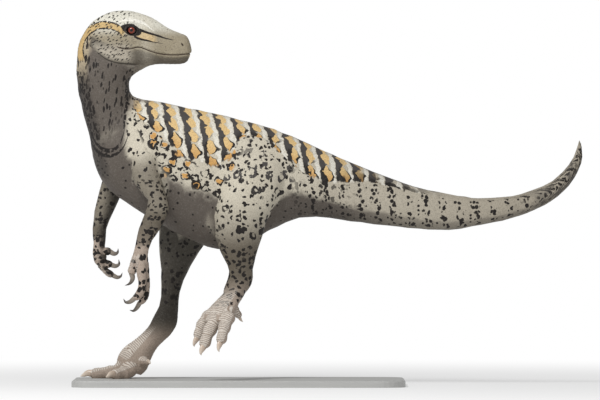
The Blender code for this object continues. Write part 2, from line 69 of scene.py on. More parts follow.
# The body's cross-sections, as in the solids: (x, z) on the upper right outline, (x, z) on the lower left
# one, half width, y of the middle, and egg. Along the neck, which turns half round, the throat comes onto the
# first outline and the nape onto the second.
TRUNK = [
    ((-0.824, 1.990), (-0.822, 2.040), 0.026, -0.060, 0.10),
    ((-0.843, 1.948), (-0.846, 2.095), 0.046, -0.060, 0.10),
    ((-0.876, 1.930), (-0.890, 2.118), 0.054, -0.060, 0.12),
    ((-0.930, 1.927), (-0.955, 2.142), 0.060, -0.060, 0.12),
    ((-0.985, 1.928), (-1.030, 2.190), 0.070, -0.060, 0.10),
    ((-1.026, 1.927), (-1.095, 2.222), 0.080, -0.060, 0.06),
    ((-1.062, 1.921), (-1.190, 2.246), 0.094, -0.060, 0.00),
    ((-1.092, 1.909), (-1.295, 2.244), 0.106, -0.060, -0.05),
    ((-1.128, 1.888), (-1.398, 2.190), 0.112, -0.060, -0.06),
    ((-1.158, 1.870), (-1.464, 2.114), 0.114, -0.058, 0.00),
    ((-1.180, 1.851), (-1.500, 2.010), 0.116, -0.056, 0.00),
    ((-1.194, 1.816), (-1.505, 1.845), 0.120, -0.048, 0.00),
    ((-1.190, 1.775), (-1.472, 1.655), 0.126, -0.032, 0.00),
    ((-1.180, 1.750), (-1.428, 1.490), 0.134, -0.015, 0.00),
    ((-1.162, 1.732), (-1.402, 1.342), 0.146, -0.004, -0.04),
    ((-1.105, 1.718), (-1.338, 1.205), 0.168, 0.000, -0.08),
    ((-1.010, 1.702), (-1.205, 1.095), 0.190, 0.000, -0.10),
    ((-0.880, 1.674), (-1.030, 0.985), 0.206, 0.000, -0.12),
    ((-0.740, 1.645), (-0.850, 0.888), 0.210, 0.000, -0.12),
    ((-0.600, 1.614), (-0.680, 0.824), 0.202, 0.000, -0.10),
    ((-0.456, 1.576), (-0.520, 0.836), 0.186, 0.000, -0.04),
    ((-0.312, 1.534), (-0.362, 0.926), 0.164, 0.000, 0.00),
    ((-0.180, 1.480), (-0.200, 0.998), 0.142, 0.000, 0.02),
    ((-0.036, 1.414), (-0.072, 1.014), 0.124, 0.000, 0.02),
    ((0.144, 1.336), (0.090, 0.994), 0.108, 0.002, 0.00),
    ((0.336, 1.258), (0.294, 0.967), 0.094, 0.004, 0.00),
    ((0.528, 1.192), (0.500, 0.946), 0.082, 0.008, 0.00),
    ((0.720, 1.150), (0.710, 0.934), 0.072, 0.012, 0.00),
    ((0.912, 1.126), (0.914, 0.964), 0.062, 0.016, 0.00),
    ((1.100, 1.138), (1.120, 1.010), 0.052, 0.020, 0.00),
    ((1.248, 1.180), (1.294, 1.080), 0.042, 0.022, 0.00),
    ((1.356, 1.234), (1.418, 1.172), 0.034, 0.024, 0.00),
    ((1.430, 1.306), (1.494, 1.266), 0.028, 0.025, 0.00),
    ((1.478, 1.380), (1.528, 1.364), 0.020, 0.026, 0.00),
    ((1.500, 1.446), (1.522, 1.442), 0.009, 0.026, 0.00),
]
TAIL_END = (1.510, 0.026, 1.480)
SNOUT_END = (-0.817, -0.060, 2.014)
HEAD_Y = -0.060
# The last row of the head and of the neck
HEAD_ROW, NECK_ROW = 9, 14

LEFT_ARM = [
    ((-1.010, 1.474), (-1.150, 1.438), 0.042, -0.135),
    ((-1.030, 1.354), (-1.172, 1.336), 0.058, -0.185),
    ((-0.996, 1.240), (-1.162, 1.234), 0.060, -0.218),
    ((-0.969, 1.144), (-1.110, 1.156), 0.054, -0.238),
    ((-0.952, 1.074), (-1.074, 1.108), 0.049, -0.250),
    ((-0.966, 1.012), (-1.092, 1.042), 0.048, -0.256),
    ((-1.002, 0.940), (-1.122, 0.964), 0.045, -0.260),
    ((-1.050, 0.874), (-1.143, 0.876), 0.038, -0.262),
    ((-1.071, 0.802), (-1.161, 0.802), 0.034, -0.262),
    ((-1.074, 0.735), (-1.176, 0.745), 0.032, -0.262),
    ((-1.090, 0.700), (-1.164, 0.708), 0.018, -0.262),
]
RIGHT_ARM = [
    ((-1.128, 1.372), (-1.262, 1.414), 0.042, 0.120),
    ((-1.200, 1.246), (-1.340, 1.282), 0.055, 0.160),
    ((-1.248, 1.134), (-1.380, 1.156), 0.055, 0.188),
    ((-1.300, 1.030), (-1.407, 1.036), 0.048, 0.200),
    ((-1.332, 0.946), (-1.419, 0.940), 0.042, 0.204),
    ((-1.341, 0.850), (-1.413, 0.850), 0.036, 0.206),
    ((-1.342, 0.806), (-1.418, 0.784), 0.034, 0.206),
    ((-1.334, 0.772), (-1.404, 0.734), 0.030, 0.208),
    ((-1.338, 0.744), (-1.378, 0.716), 0.016, 0.210),
]
LEFT_LEG = [
    ((-0.290, 1.420), (-0.545, 1.470), 0.045, -0.075),
    ((-0.266, 1.290), (-0.620, 1.310), 0.086, -0.140),
    ((-0.306, 1.120), (-0.669, 1.138), 0.100, -0.172),
    ((-0.368, 0.985), (-0.680, 0.982), 0.094, -0.188),
    ((-0.402, 0.876), (-0.666, 0.870), 0.080, -0.190),
    ((-0.429, 0.790), (-0.630, 0.780), 0.066, -0.180),
    ((-0.450, 0.706), (-0.594, 0.706), 0.053, -0.166),
    ((-0.449, 0.648), (-0.604, 0.640), 0.050, -0.158),
    ((-0.462, 0.596), (-0.622, 0.592), 0.052, -0.158),
    ((-0.505, 0.548), (-0.630, 0.552), 0.042, -0.168),
]
RIGHT_LEG = [
    ((-0.330, 1.214), (-0.570, 1.494), 0.045, 0.075),
    ((-0.444, 1.132), (-0.684, 1.408), 0.086, 0.140),
    ((-0.594, 1.024), (-0.816, 1.276), 0.096, 0.165),
    ((-0.696, 0.922), (-0.936, 1.102), 0.088, 0.178),
    ((-0.730, 0.868), (-1.006, 0.976), 0.080, 0.180),
    ((-0.772, 0.806), (-1.016, 0.856), 0.074, 0.178),
    ((-0.816, 0.730), (-1.008, 0.742), 0.066, 0.175),
    ((-0.868, 0.634), (-1.004, 0.634), 0.055, 0.172),
    ((-0.897, 0.544), (-1.004, 0.550), 0.048, 0.170),
    ((-0.903, 0.454), (-1.018, 0.478), 0.049, 0.170),
    ((-0.909, 0.366), (-1.054, 0.406), 0.054, 0.170),
    ((-0.946, 0.306), (-1.082, 0.352), 0.050, 0.170),
    ((-0.992, 0.262), (-1.124, 0.306), 0.052, 0.170),
    ((-1.034, 0.214), (-1.182, 0.258), 0.060, 0.170),
    ((-1.066, 0.154), (-1.232, 0.218), 0.070, 0.170),
    ((-1.092, 0.092), (-1.262, 0.176), 0.074, 0.170),
    ((-1.126, 0.058), (-1.274, 0.128), 0.066, 0.170),
]
LIMBS = {"left_arm": LEFT_ARM, "right_arm": RIGHT_ARM, "left_leg": LEFT_LEG, "right_leg": RIGHT_LEG}

# Fingers: middle line, radii at root and tip, and the claw's line beyond the tip
FINGERS = {
    "left": [
        ([(-1.140, -0.262, 0.765), (-1.162, -0.264, 0.715), (-1.172, -0.266, 0.680)], (0.028, 0.022),
         [(-1.172, -0.266, 0.678), (-1.166, -0.267, 0.645), (-1.182, -0.268, 0.617),
          (-1.212, -0.268, 0.604)]),
        ([(-1.118, -0.274, 0.765), (-1.112, -0.284, 0.680), (-1.108, -0.286, 0.610), (-1.124, -0.284, 0.556),
          (-1.154, -0.280, 0.528)], (0.029, 0.020),
         [(-1.156, -0.280, 0.527), (-1.180, -0.279, 0.508), (-1.206, -0.278, 0.505),
          (-1.220, -0.278, 0.526)]),
        ([(-1.100, -0.248, 0.765), (-1.092, -0.238, 0.680), (-1.084, -0.235, 0.600), (-1.096, -0.235, 0.535),
          (-1.124, -0.237, 0.499)], (0.028, 0.019),
         [(-1.126, -0.237, 0.497), (-1.142, -0.238, 0.470), (-1.162, -0.238, 0.453),
          (-1.184, -0.239, 0.458)]),
    ],
    "right": [
        ([(-1.380, 0.196, 0.812), (-1.350, 0.188, 0.806), (-1.316, 0.186, 0.804)], (0.027, 0.021),
         [(-1.314, 0.186, 0.803), (-1.288, 0.185, 0.790), (-1.268, 0.185, 0.798), (-1.264, 0.185, 0.822)]),
        ([(-1.382, 0.200, 0.770), (-1.346, 0.202, 0.738), (-1.308, 0.202, 0.724)], (0.027, 0.020),
         [(-1.306, 0.202, 0.723), (-1.279, 0.202, 0.716), (-1.259, 0.202, 0.729), (-1.262, 0.202, 0.756)]),
        ([(-1.372, 0.214, 0.744), (-1.343, 0.221, 0.690), (-1.300, 0.224, 0.661)], (0.026, 0.019),
         [(-1.298, 0.224, 0.660), (-1.272, 0.224, 0.648), (-1.250, 0.224, 0.654), (-1.240, 0.224, 0.676)]),
    ],
}

# The standing foot's toes: root, heading in degrees from -X towards +Y, length, radii at root and tip
STANDING_TOES = [
    ((-1.120, 0.125, 0.140), -118.0, 0.080, (0.029, 0.019)),
    ((-1.180, 0.140, 0.104), -50.0, 0.165, (0.046, 0.030)),
    ((-1.205, 0.168, 0.118), 2.0, 0.215, (0.050, 0.031)),
    ((-1.180, 0.200, 0.104), 30.0, 0.185, (0.046, 0.029)),
]
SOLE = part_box("stand_base")[1][2] + 0.0003
PAD_SINK = 0.006
STANDING_CLAW = 0.072
HALLUX_CLAW = 0.040

# The raised foot hangs from the ankle, turned out by this angle from -X towards -Y
FOOT_YAW = math.radians(48.0)
ANKLE = (-0.524, -0.158, 0.620)
METATARSUS = [(0.020, -0.034, 0.050, 0.054), (0.070, -0.084, 0.050, 0.066), (0.150, -0.150, 0.048, 0.088),
              (0.215, -0.200, 0.046, 0.104), (0.250, -0.236, 0.034, 0.096)]
RAISED_TOES = [
    ((0.050, -0.020, 0.120), (-0.60, 0.16), 0.095, (0.028, 0.018)),
    ((0.185, -0.064, 0.185), (0.62, -0.20), 0.165, (0.044, 0.028)),
    ((0.195, 0.010, 0.190), (0.72, 0.00), 0.225, (0.047, 0.030)),
    ((0.185, 0.088, 0.185), (0.62, 0.12), 0.195, (0.043, 0.028)),
]
RAISED_CLAW = 0.068
PAD_SWELL = 0.07

# The mouth's line, as (x, z) on the profile
MOUTH = [(-1.262, 2.030), (-1.235, 2.021), (-1.200, 2.016), (-1.165, 2.021), (-1.135, 2.027), (-1.105, 2.020),
         (-1.060, 2.003), (-1.000, 1.987), (-0.950, 1.982), (-0.900, 1.982), (-0.850, 1.987), (-0.790, 1.995)]
NOSTRIL = (-0.872, 2.044)
# The lower edge of the jaw behind the mouth, where it is set off from the throat
JAW_LINE = [(-1.480, 2.100), (-1.420, 2.040), (-1.385, 2.000), (-1.353, 1.975), (-1.320, 1.953),
            (-1.266, 1.935), (-1.200, 1.928), (-1.000, 1.926)]

# Soft forms under the skin, on both sides: middle, reach along x, y and z, and height. In HEAD_FORMS y is
# counted from the head's middle.
HEAD_FORMS = [
    ((-1.290, 0.100, 2.075), (0.060, 0.060, 0.060), 0.010),
    ((-1.165, 0.085, 2.182), (0.065, 0.040, 0.014), 0.009),
    ((-1.085, 0.050, 2.205), (0.045, 0.030, 0.020), 0.008),
    ((-1.075, 0.075, 2.120), (0.035, 0.040, 0.022), -0.006),
    ((-1.000, 0.060, 2.085), (0.060, 0.050, 0.030), -0.004),
    ((-1.225, 0.100, 2.125), (0.028, 0.050, 0.022), -0.005),
    ((-1.160, 0.095, 2.070), (0.050, 0.050, 0.018), 0.004),
    ((-1.140, 0.085, 1.955), (0.070, 0.060, 0.022), 0.005),
    ((-1.330, 0.100, 1.985), (0.045, 0.060, 0.060), -0.006),
    ((-0.870, 0.045, 2.062), (0.022, 0.030, 0.018), 0.003),
]
BODY_FORMS = [
    ((-1.095, 0.190, 1.430), (0.085, 0.120, 0.110), 0.016),
    ((-0.930, 0.190, 1.505), (0.120, 0.120, 0.040), 0.010),
    ((-1.215, 0.150, 1.310), (0.050, 0.120, 0.100), -0.012),
    ((-0.930, 0.200, 1.340), (0.055, 0.120, 0.140), -0.010),
    ((-0.430, 0.160, 1.445), (0.170, 0.120, 0.055), 0.014),
    ((-0.480, 0.240, 1.220), (0.090, 0.120, 0.120), 0.012),
    ((-0.600, 0.240, 1.090), (0.045, 0.120, 0.080), 0.008),
    ((-0.700, 0.190, 1.260), (0.050, 0.120, 0.190), -0.014),
    ((-0.700, 0.190, 1.080), (0.060, 0.120, 0.100), -0.008),
    ((-0.120, 0.120, 1.170), (0.230, 0.120, 0.060), 0.012),
    ((-0.180, 0.140, 1.290), (0.150, 0.120, 0.040), -0.008),
    ((-0.290, 0.150, 1.400), (0.050, 0.120, 0.060), -0.006),
    ((0.250, 0.090, 1.100), (0.260, 0.100, 0.030), 0.005),
]


def as_rows(table):
    return np.array([[*a, *b, w, y, *(rest or [0.0])] for a, b, w, y, *rest in table])


def spline(rows, at):
    """Rows at the places between rows, on a Catmull-Rom curve through them."""
    rows = np.asarray(rows, float)
    last = len(rows) - 1
    at = np.clip(np.atleast_1d(np.asarray(at, float)), 0, last)
    i = np.minimum(at.astype(int), last - 1)
    t = (at - i)[:, None]
    a, b, c, d = (rows[np.clip(i + k, 0, last)] for k in (-1, 0, 1, 2))
    return 0.5 * (2 * b + (c - a) * t + (2 * a - 5 * b + 4 * c - d) * t**2 + (3 * b - a - 3 * c + d) * t**3)


def step(value, low, high):
    """0 below low and 1 above high, smoothly. low may be the larger."""
    t = np.clip((value - low) / (high - low), 0, 1)
    return t * t * (3 - 2 * t)


def outline_rings(table, per_row, sides):
    rows = spline(as_rows(table), np.arange((len(table) - 1) * per_row + 1) / per_row)
    angle = np.arange(sides) * 2 * np.pi / sides
    rings = []
    for x1, z1, x2, z2, width, y, egg in rows:
        middle = np.array([(x1 + x2) / 2, y, (z1 + z2) / 2])
        up = np.array([(x1 - x2) / 2, 0, (z1 - z2) / 2])
        ring = middle + np.cos(angle)[:, None] * up
        ring[:, 1] += width * np.sin(angle) * (1 + egg * np.cos(angle))
        rings.append(ring)
    return rings


def tube_rings(points, radii, side, sides, steps, pads=0, blunt=0.0):
    """Rings round a smooth line. radii holds the root's and tip's, or (depth, width) per point."""
    points = np.asarray(points, float)
    last = len(points) - 1
    share = np.arange(steps + 1) / steps
    line = spline(points, share * last)
    ahead, behind = spline(points, share * last + 0.05), spline(points, share * last - 0.05)
    if isinstance(radii[0], tuple):
        sizes = spline(np.array(radii), share * last)
    else:
        swell = 1 - (PAD_SWELL * np.cos(2 * np.pi * pads * share) if pads else 0 * share)
        size = (radii[0] + (radii[1] - radii[0]) * share) * swell * np.minimum(1.0, 0.6 + 4 * share)
        sizes = np.stack([size, size], axis=1)
    if blunt:
        sizes = sizes * np.sqrt(np.clip(1 - ((share - 1 + blunt) / blunt).clip(0, 1)**2, 0.08, 1))[:, None]
    angle = np.arange(sides) * 2 * np.pi / sides
    rings = []
    for k in range(steps + 1):
        tangent = ahead[k] - behind[k]
        tangent /= np.linalg.norm(tangent)
        across = np.asarray(side, float) - tangent * np.dot(side, tangent)
        across /= np.linalg.norm(across)
        up = np.cross(tangent, across)
        depth, width = sizes[k]
        rings.append(line[k] + np.cos(angle)[:, None] * up * depth + np.sin(angle)[:, None] * across * width)
    return rings


def add_rings(bm, rings, start=None, end=None):
    """Adds a closed form through the rings to the bmesh, pointed where start or end gives a point."""
    loops = [[bm.verts.new(p) for p in ring] for ring in rings]
    count = len(loops[0])
    for a, b in zip(loops, loops[1:]):
        for k in range(count):
            bm.faces.new((a[k], a[(k + 1) % count], b[(k + 1) % count], b[k]))
    for loop, point in ((loops[0], start), (loops[-1], end)):
        apex = bm.verts.new(point if point is not None else sum((v.co for v in loop), Vector()) / count)
        for k in range(count):
            bm.faces.new((loop[k], loop[(k + 1) % count], apex))


def new_object(name, bm, material=None):
    bmesh.ops.recalc_face_normals(bm, faces=bm.faces)
    mesh = bpy.data.meshes.new(name)
    bm.to_mesh(mesh)
    bm.free()
    obj = bpy.data.objects.new(name, mesh)
    bpy.context.scene.collection.objects.link(obj)
    if material:
        mesh.materials.append(material)
        mesh.shade_smooth()
    return obj


def raised_axes():
    ahead = np.array([-math.cos(FOOT_YAW), -math.sin(FOOT_YAW), 0])
    outward = np.array([math.sin(FOOT_YAW), -math.cos(FOOT_YAW), 0])
    return np.array(ANKLE), ahead, outward, np.array([0, 0, -1.0])


def standing_digits():
    """For each toe of the standing foot: its line, radii, width direction, upper side, and claw line."""
    digits = []
    for number, (root, heading, length, radii) in enumerate(STANDING_TOES, 1):
        angle = math.radians(heading)
        along = np.array([-math.cos(angle), math.sin(angle), 0])
        across = np.array([math.sin(angle), math.cos(angle), 0])
        thickness = [radii[0] + (radii[1] - radii[0]) * k / 3 for k in range(4)]
        heights = [SOLE + radius - PAD_SINK if number > 1 else root[2] for radius in thickness]
        heights[0] = root[2]
        line = [np.array([root[0], root[1], heights[k]]) + along * length * k / 3 for k in range(4)]
        reach = STANDING_CLAW if number > 1 else HALLUX_CLAW
        drop = 0.25 if number > 1 else 0.30
        end = line[-1] + np.array([0, 0, radii[1] * 0.12])
        shape = ((0.0, 0.0), (0.36, 0.02), (0.72, -0.14), (1.0, -drop))
        claw = [end + along * reach * a + np.array([0, 0, reach * b]) for a, b in shape]
        digits.append((line, radii, across, np.array([0, 0, 1.0]), claw))
    return digits


def raised_digits():
    ankle, ahead, outward, down = raised_axes()
    digits = []
    for number, (root, (lean, spread), length, radii) in enumerate(RAISED_TOES, 1):
        root = ankle + ahead * root[0] + outward * root[1] + down * root[2]
        way = ahead * lean + down + outward * spread
        way /= np.linalg.norm(way)
        bend = (ahead * 0.1 + outward * spread * 0.2) * length
        line = [root + way * length * k / 3 + bend * math.sin(math.pi * k / 3) for k in range(4)]
        reach = RAISED_CLAW if number > 1 else HALLUX_CLAW
        end = line[-1] + ahead * radii[1] * 0.15
        shape = ((0.0, 0.0), (0.36, 0.05), (0.72, -0.02), (1.0, -0.24))
        claw = [end + way * reach * a + ahead * reach * b for a, b in shape]
        upper = ahead - way * np.dot(ahead, way)
        digits.append((line, radii, outward, upper / np.linalg.norm(upper), claw))
    return digits


def hand_digits(side):
    digits = []
    for line, radii, claw in FINGERS[side]:
        line = [np.array(p) for p in line]
        claw = [np.array(p) for p in claw]
        digits.append((line, radii, np.array([0, 1.0, 0]), np.array([-1.0, 0, 0.3]), claw))
    return digits


DIGITS = {
    "right_foot": standing_digits(),
    "left_foot": raised_digits(),
    "left_hand": hand_digits("left"),
    "right_hand": hand_digits("right"),
}


def metatarsus_line():
    ankle, ahead, _, down = raised_axes()
    return [ankle + ahead * f + down * -z for f, z, _, _ in METATARSUS]


def rough_body():
    """All the flesh as overlapping closed forms in one mesh."""
    bm = bmesh.new()
    add_rings(bm, outline_rings(TRUNK, 10, 72), SNOUT_END, TAIL_END)
    for table in LIMBS.values():
        add_rings(bm, outline_rings(table, 8, 40))
    sizes = [(depth, width) for _, _, depth, width in METATARSUS]
    add_rings(bm, tube_rings(metatarsus_line(), sizes, raised_axes()[2], 36, 30))
    for node, digits in DIGITS.items():
        pads = 3 if "foot" in node else 2
        for line, radii, across, _, _ in digits:
            past = line[-1] - line[-2]
            past = past / np.linalg.norm(past) * radii[1] * 0.45
            longer = [*line[:-1], line[-1] + past]
            add_rings(bm, tube_rings(longer, radii, across, 28, 36, pads=pads, blunt=0.16))
    return new_object("rough", bm)


def remeshed(obj):
    """The form's outer surface as even square cells, in a new mesh."""
    modifier = obj.modifiers.new("cells", "REMESH")
    modifier.mode = "VOXEL"
    modifier.voxel_size = CELL
    modifier.adaptivity = 0.0
    graph = bpy.context.evaluated_depsgraph_get()
    mesh = bpy.data.meshes.new_from_object(obj.evaluated_get(graph))
    bpy.data.objects.remove(obj)
    return mesh


def points_of(mesh):
    co = np.empty(len(mesh.vertices) * 3)
    mesh.vertices.foreach_get("co", co)
    return co.reshape(-1, 3)


def edges_of(mesh):
    edges = np.empty(len(mesh.edges) * 2, dtype=np.int64)
    mesh.edges.foreach_get("vertices", edges)
    return edges.reshape(-1, 2)


def normals_of(mesh):
    normals = np.empty(len(mesh.vertices) * 3)
    mesh.vertex_normals.foreach_get("vector", normals)
    return normals.reshape(-1, 3)


def averaged(values, edges, count):
    """The mean of each point's neighbours."""
    total = np.stack(
        [np.bincount(edges[:, 0], values[edges[:, 1], k], count)
         + np.bincount(edges[:, 1], values[edges[:, 0], k], count) for k in range(values.shape[1])],
        axis=1,
    )
    return total / np.maximum(np.bincount(edges.ravel(), minlength=count), 1)[:, None]


def smoothed(co, edges, weight, rounds):
    """Moves each point towards its neighbours, by its weight, and partly back to keep the volume."""
    count = len(co)
    for _ in range(rounds):
        co = co + (averaged(co, edges, count) - co) * (0.6 * weight)[:, None]
        co = co - (averaged(co, edges, count) - co) * (0.5 * weight)[:, None]
    return co


def softened(co, edges, weight, rounds):
    """Moves each point towards its neighbours, by its weight, which fills and rounds creases."""
    count = len(co)
    for _ in range(rounds):
        co = co + (averaged(co, edges, count) - co) * (0.6 * weight)[:, None]
    return co


def near(co, centre, reach):
    """1 at the centre, falling to 0 over the reach, which may differ along x, y and z."""
    offset = (co - np.asarray(centre)) / np.asarray(reach)
    return np.exp(-(offset**2).sum(axis=1))


def waves(co, length, seed, count=14):
    """Smooth unevenness between about -1 and 1, of this wavelength."""
    rng = np.random.default_rng(seed)
    ways = rng.normal(size=(count, 3))
    ways /= np.linalg.norm(ways, axis=1)[:, None]
    ways *= (2 * np.pi / length) * rng.uniform(0.7, 1.4, size=(count, 1))
    phase = rng.uniform(0, 2 * np.pi, size=count)
    return np.sin(co @ ways.T + phase).sum(axis=1) / math.sqrt(count)


def line_place(co, points):
    """For each point of co: its distance from the broken line, and how far along the line it is."""
    points = np.asarray(points, float)
    best = np.full(len(co), 1e9)
    along = np.zeros(len(co))
    passed = 0.0
    for a, b in zip(points, points[1:]):
        way = b - a
        length = np.linalg.norm(way)
        t = np.clip(((co - a) @ way) / length**2, 0, 1)
        distance = np.linalg.norm(co - a - t[:, None] * way, axis=1)
        closer = distance < best
        best = np.where(closer, distance, best)
        along = np.where(closer, passed + t * length, along)
        passed += length
    return best, along


def middles(rows):
    """Each section's middle, its way up to the first outline, and its height along it."""
    middle = np.stack([(rows[:, 0] + rows[:, 2]) / 2, rows[:, 5], (rows[:, 1] + rows[:, 3]) / 2], axis=1)
    up = np.stack([(rows[:, 0] - rows[:, 2]) / 2, 0 * rows[:, 0], (rows[:, 1] - rows[:, 3]) / 2], axis=1)
    height = np.linalg.norm(up, axis=1)
    return middle, up / height[:, None], height


def places(table, co):
    """Each point's place on the loft: row, share of the radius, cosine and sine round it, and the section's
    sizes. The cosine is 1 on the first outline, and the sine 1 on the +Y side."""
    per_row = 10
    last = (len(table) - 1) * per_row
    rows = spline(as_rows(table), np.arange(last + 1) / per_row)
    middle, up, height = middles(rows)
    normal = np.stack([-up[:, 2], 0 * up[:, 0], up[:, 0]], axis=1)
    found = np.empty(len(co), dtype=int)
    for start in range(0, len(co), 20000):
        part = co[start:start + 20000]
        flat = (part @ normal.T - (middle * normal).sum(axis=1))**2
        full = (part**2).sum(axis=1)[:, None] - 2 * part @ middle.T + (middle**2).sum(axis=1)
        found[start:start + 20000] = np.argmin(flat + 0.2 * full, axis=1)
    # Between two sections, the place is where the point's distances from their planes say
    here = ((co - middle[found]) * normal[found]).sum(axis=1)
    after = np.minimum(found + 1, last)
    before = np.maximum(found - 1, 0)
    there = ((co - middle[after]) * normal[after]).sum(axis=1)
    back = ((co - middle[before]) * normal[before]).sum(axis=1)
    forward = np.where(here * there < 0, here / np.where(here == there, 1, here - there), 0)
    backward = np.where(here * back < 0, here / np.where(here == back, 1, here - back), 0)
    place = np.clip(found + np.where(forward > 0, forward, -backward), 0, last) / per_row
    exact = spline(as_rows(table), place)
    middle, up, height = middles(exact)
    offset = co - middle
    cosine = (offset * up).sum(axis=1) / height
    sine = offset[:, 1] / exact[:, 4]
    normal = np.stack([-up[:, 2], 0 * up[:, 0], up[:, 0]], axis=1)
    beyond = np.abs((offset * normal).sum(axis=1))
    share = np.sqrt(cosine**2 + sine**2) + beyond / height
    return place, share, cosine, sine, height, exact[:, 4]


def eye_places():
    """Each eye's name, side, middle and radius, from the solids."""
    for name, out in (("left_eye", -1.0), ("right_eye", 1.0)):
        low, high = (np.array(corner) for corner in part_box(name))
        yield name, out, (low + high) / 2, (high[0] - low[0]) / 2


def form_eyes(co):
    """Opens the skin over each eyeball and lays lids round it."""
    for _, out, middle, radius in eye_places():
        dx = co[:, 0] - middle[0]
        dz = co[:, 2] - middle[2]
        ring = np.sqrt((dx / 1.08)**2 + (dz / np.where(dz > 0, 0.86, 0.90))**2)
        side = (co[:, 1] - HEAD_Y) * out
        here = (side > 0.02) & (ring < radius * 2.2)
        ball = radius * 1.13
        lid = np.sqrt(np.clip(ball**2 - ring**2, 0, None)) * 0.96 + (middle[1] - HEAD_Y) * out
        opening = radius * 0.90
        outer = step(ring, radius * 1.05, radius * 1.45)
        raised = np.maximum(side, lid * (1 - outer) + side * outer)
        inside = (middle[1] - HEAD_Y) * out - radius * 0.1
        blend = step(ring, opening * 0.96, opening * 1.04)
        new = inside * (1 - blend) + raised * blend
        crease = 0.0035 * np.exp(-((ring - radius * 1.42) / 0.0035)**2) * step(dz, -0.02, 0.01)
        co[here, 1] = HEAD_Y + out * (new - crease)[here]
    return co


def detail(co):
    """How far each point moves out along its normal for muscles, folds, the mouth, nostrils and scutes."""
    lift = np.zeros(len(co))
    row, share, cosine, sine, _, _ = places(TRUNK, co)
    on_trunk = step(share, 1.30, 1.12)
    head = step(row, HEAD_ROW + 0.5, HEAD_ROW - 0.5) * on_trunk
    neck = step(row, HEAD_ROW - 1, HEAD_ROW + 0.5) * step(row, NECK_ROW + 1.2, NECK_ROW - 0.5) * on_trunk
    for forms, middle in ((HEAD_FORMS, HEAD_Y), (BODY_FORMS, 0.0)):
        for (x, y, z), reach, height in forms:
            lift += height * near(co, (x, middle - y, z), reach)
            lift += height * near(co, (x, middle + y, z), reach)
    # The mouth's line with its lips, the same all the way round the snout
    flat = co * np.array([1.0, 0.0, 1.0])
    distance, along = line_place(flat, [(x, 0.0, z) for x, z in MOUTH])
    lips = head * step(along, -0.005, 0.03)
    groove = 0.0065 * np.exp(-(distance / 0.0036)**2)
    lift += lips * (0.0022 * np.exp(-((distance - 0.011) / 0.006)**2) - groove)
    # The jaw's lower edge, with the cheek full above it
    distance, along = line_place(flat, [(x, 0.0, z) for x, z in JAW_LINE[2:]])
    above = co[:, 2] - np.interp(co[:, 0], *np.transpose(JAW_LINE))
    ends = step(along, 0.0, 0.05) * step(along, 0.30, 0.20) * step(row, HEAD_ROW + 2.5, HEAD_ROW + 1.0)
    cheeks = ends * step(np.abs(co[:, 1] - HEAD_Y), 0.03, 0.06)
    lift += cheeks * (0.0050 * step(above, -0.010, 0.012) * step(above, 0.09, 0.02) - 0.0030 * np.exp(
        -((above + 0.006) / 0.007)**2))
    # Nostrils: slanted slits with a low rim
    dx, dz = co[:, 0] - NOSTRIL[0], co[:, 2] - NOSTRIL[1]
    lengthwise, crosswise = dx * 0.5 - dz * 0.86, dx * 0.86 + dz * 0.5
    slit = (lengthwise / 0.011)**2 + (crosswise / 0.0045)**2
    rim = (lengthwise / 0.018)**2 + (crosswise / 0.011)**2
    sides = head * step(np.abs(co[:, 1] - HEAD_Y), 0.018, 0.03)
    lift += sides * (-0.009 * np.exp(-slit) + 0.0028 * np.exp(-rim))
    # Fine rings of folds round the neck, strongest on the throat's inner bend
    coarse = waves(co, 0.16, 3)
    inner = step(cosine, 0.2, 0.9) * step(row, 8.0, 9.5) * step(row, 14.0, 12.5)
    ring = np.abs(np.sin(np.pi * (row * 6.0 + 0.5 * coarse)))**0.7
    lift += neck * (0.0010 + 0.0022 * inner) * (ring - 0.7)
    # Ribs and belly: low unevenness under the skin
    flank = step(row, 14.5, 16.0) * step(row, 21.0, 19.5) * on_trunk * step(np.abs(sine), 0.35, 0.8)
    lift += flank * 0.0020 * np.sin(2 * np.pi * (row * 1.9 + 0.35 * cosine)) * step(cosine, 0.75, 0.2)
    lift += 0.0014 * waves(co, 0.11, 5) * step(share, 0.5, 1.0)
    lift += 0.0005 * waves(co, 0.022, 7)
    # Skin folds behind the thighs, over the knees and inside the elbows
    for line, width, depth in FOLDS:
        distance, along = line_place(co, line)
        whole = sum(math.dist(a, b) for a, b in zip(line, line[1:]))
        ends = step(along, 0, 0.25 * whole) * step(along, whole, 0.75 * whole)
        lift -= depth * ends * np.exp(-(distance / width)**2)
        lift += 0.45 * depth * ends * np.exp(-((distance - 2.1 * width) / width)**2)
    # Every second groove between scutes is deep enough to shape
    strength, place = scutes(co)
    lift += strength * 0.0022 * (np.abs(np.sin(np.pi * place / 2))**0.42 - 0.7)
    return lift


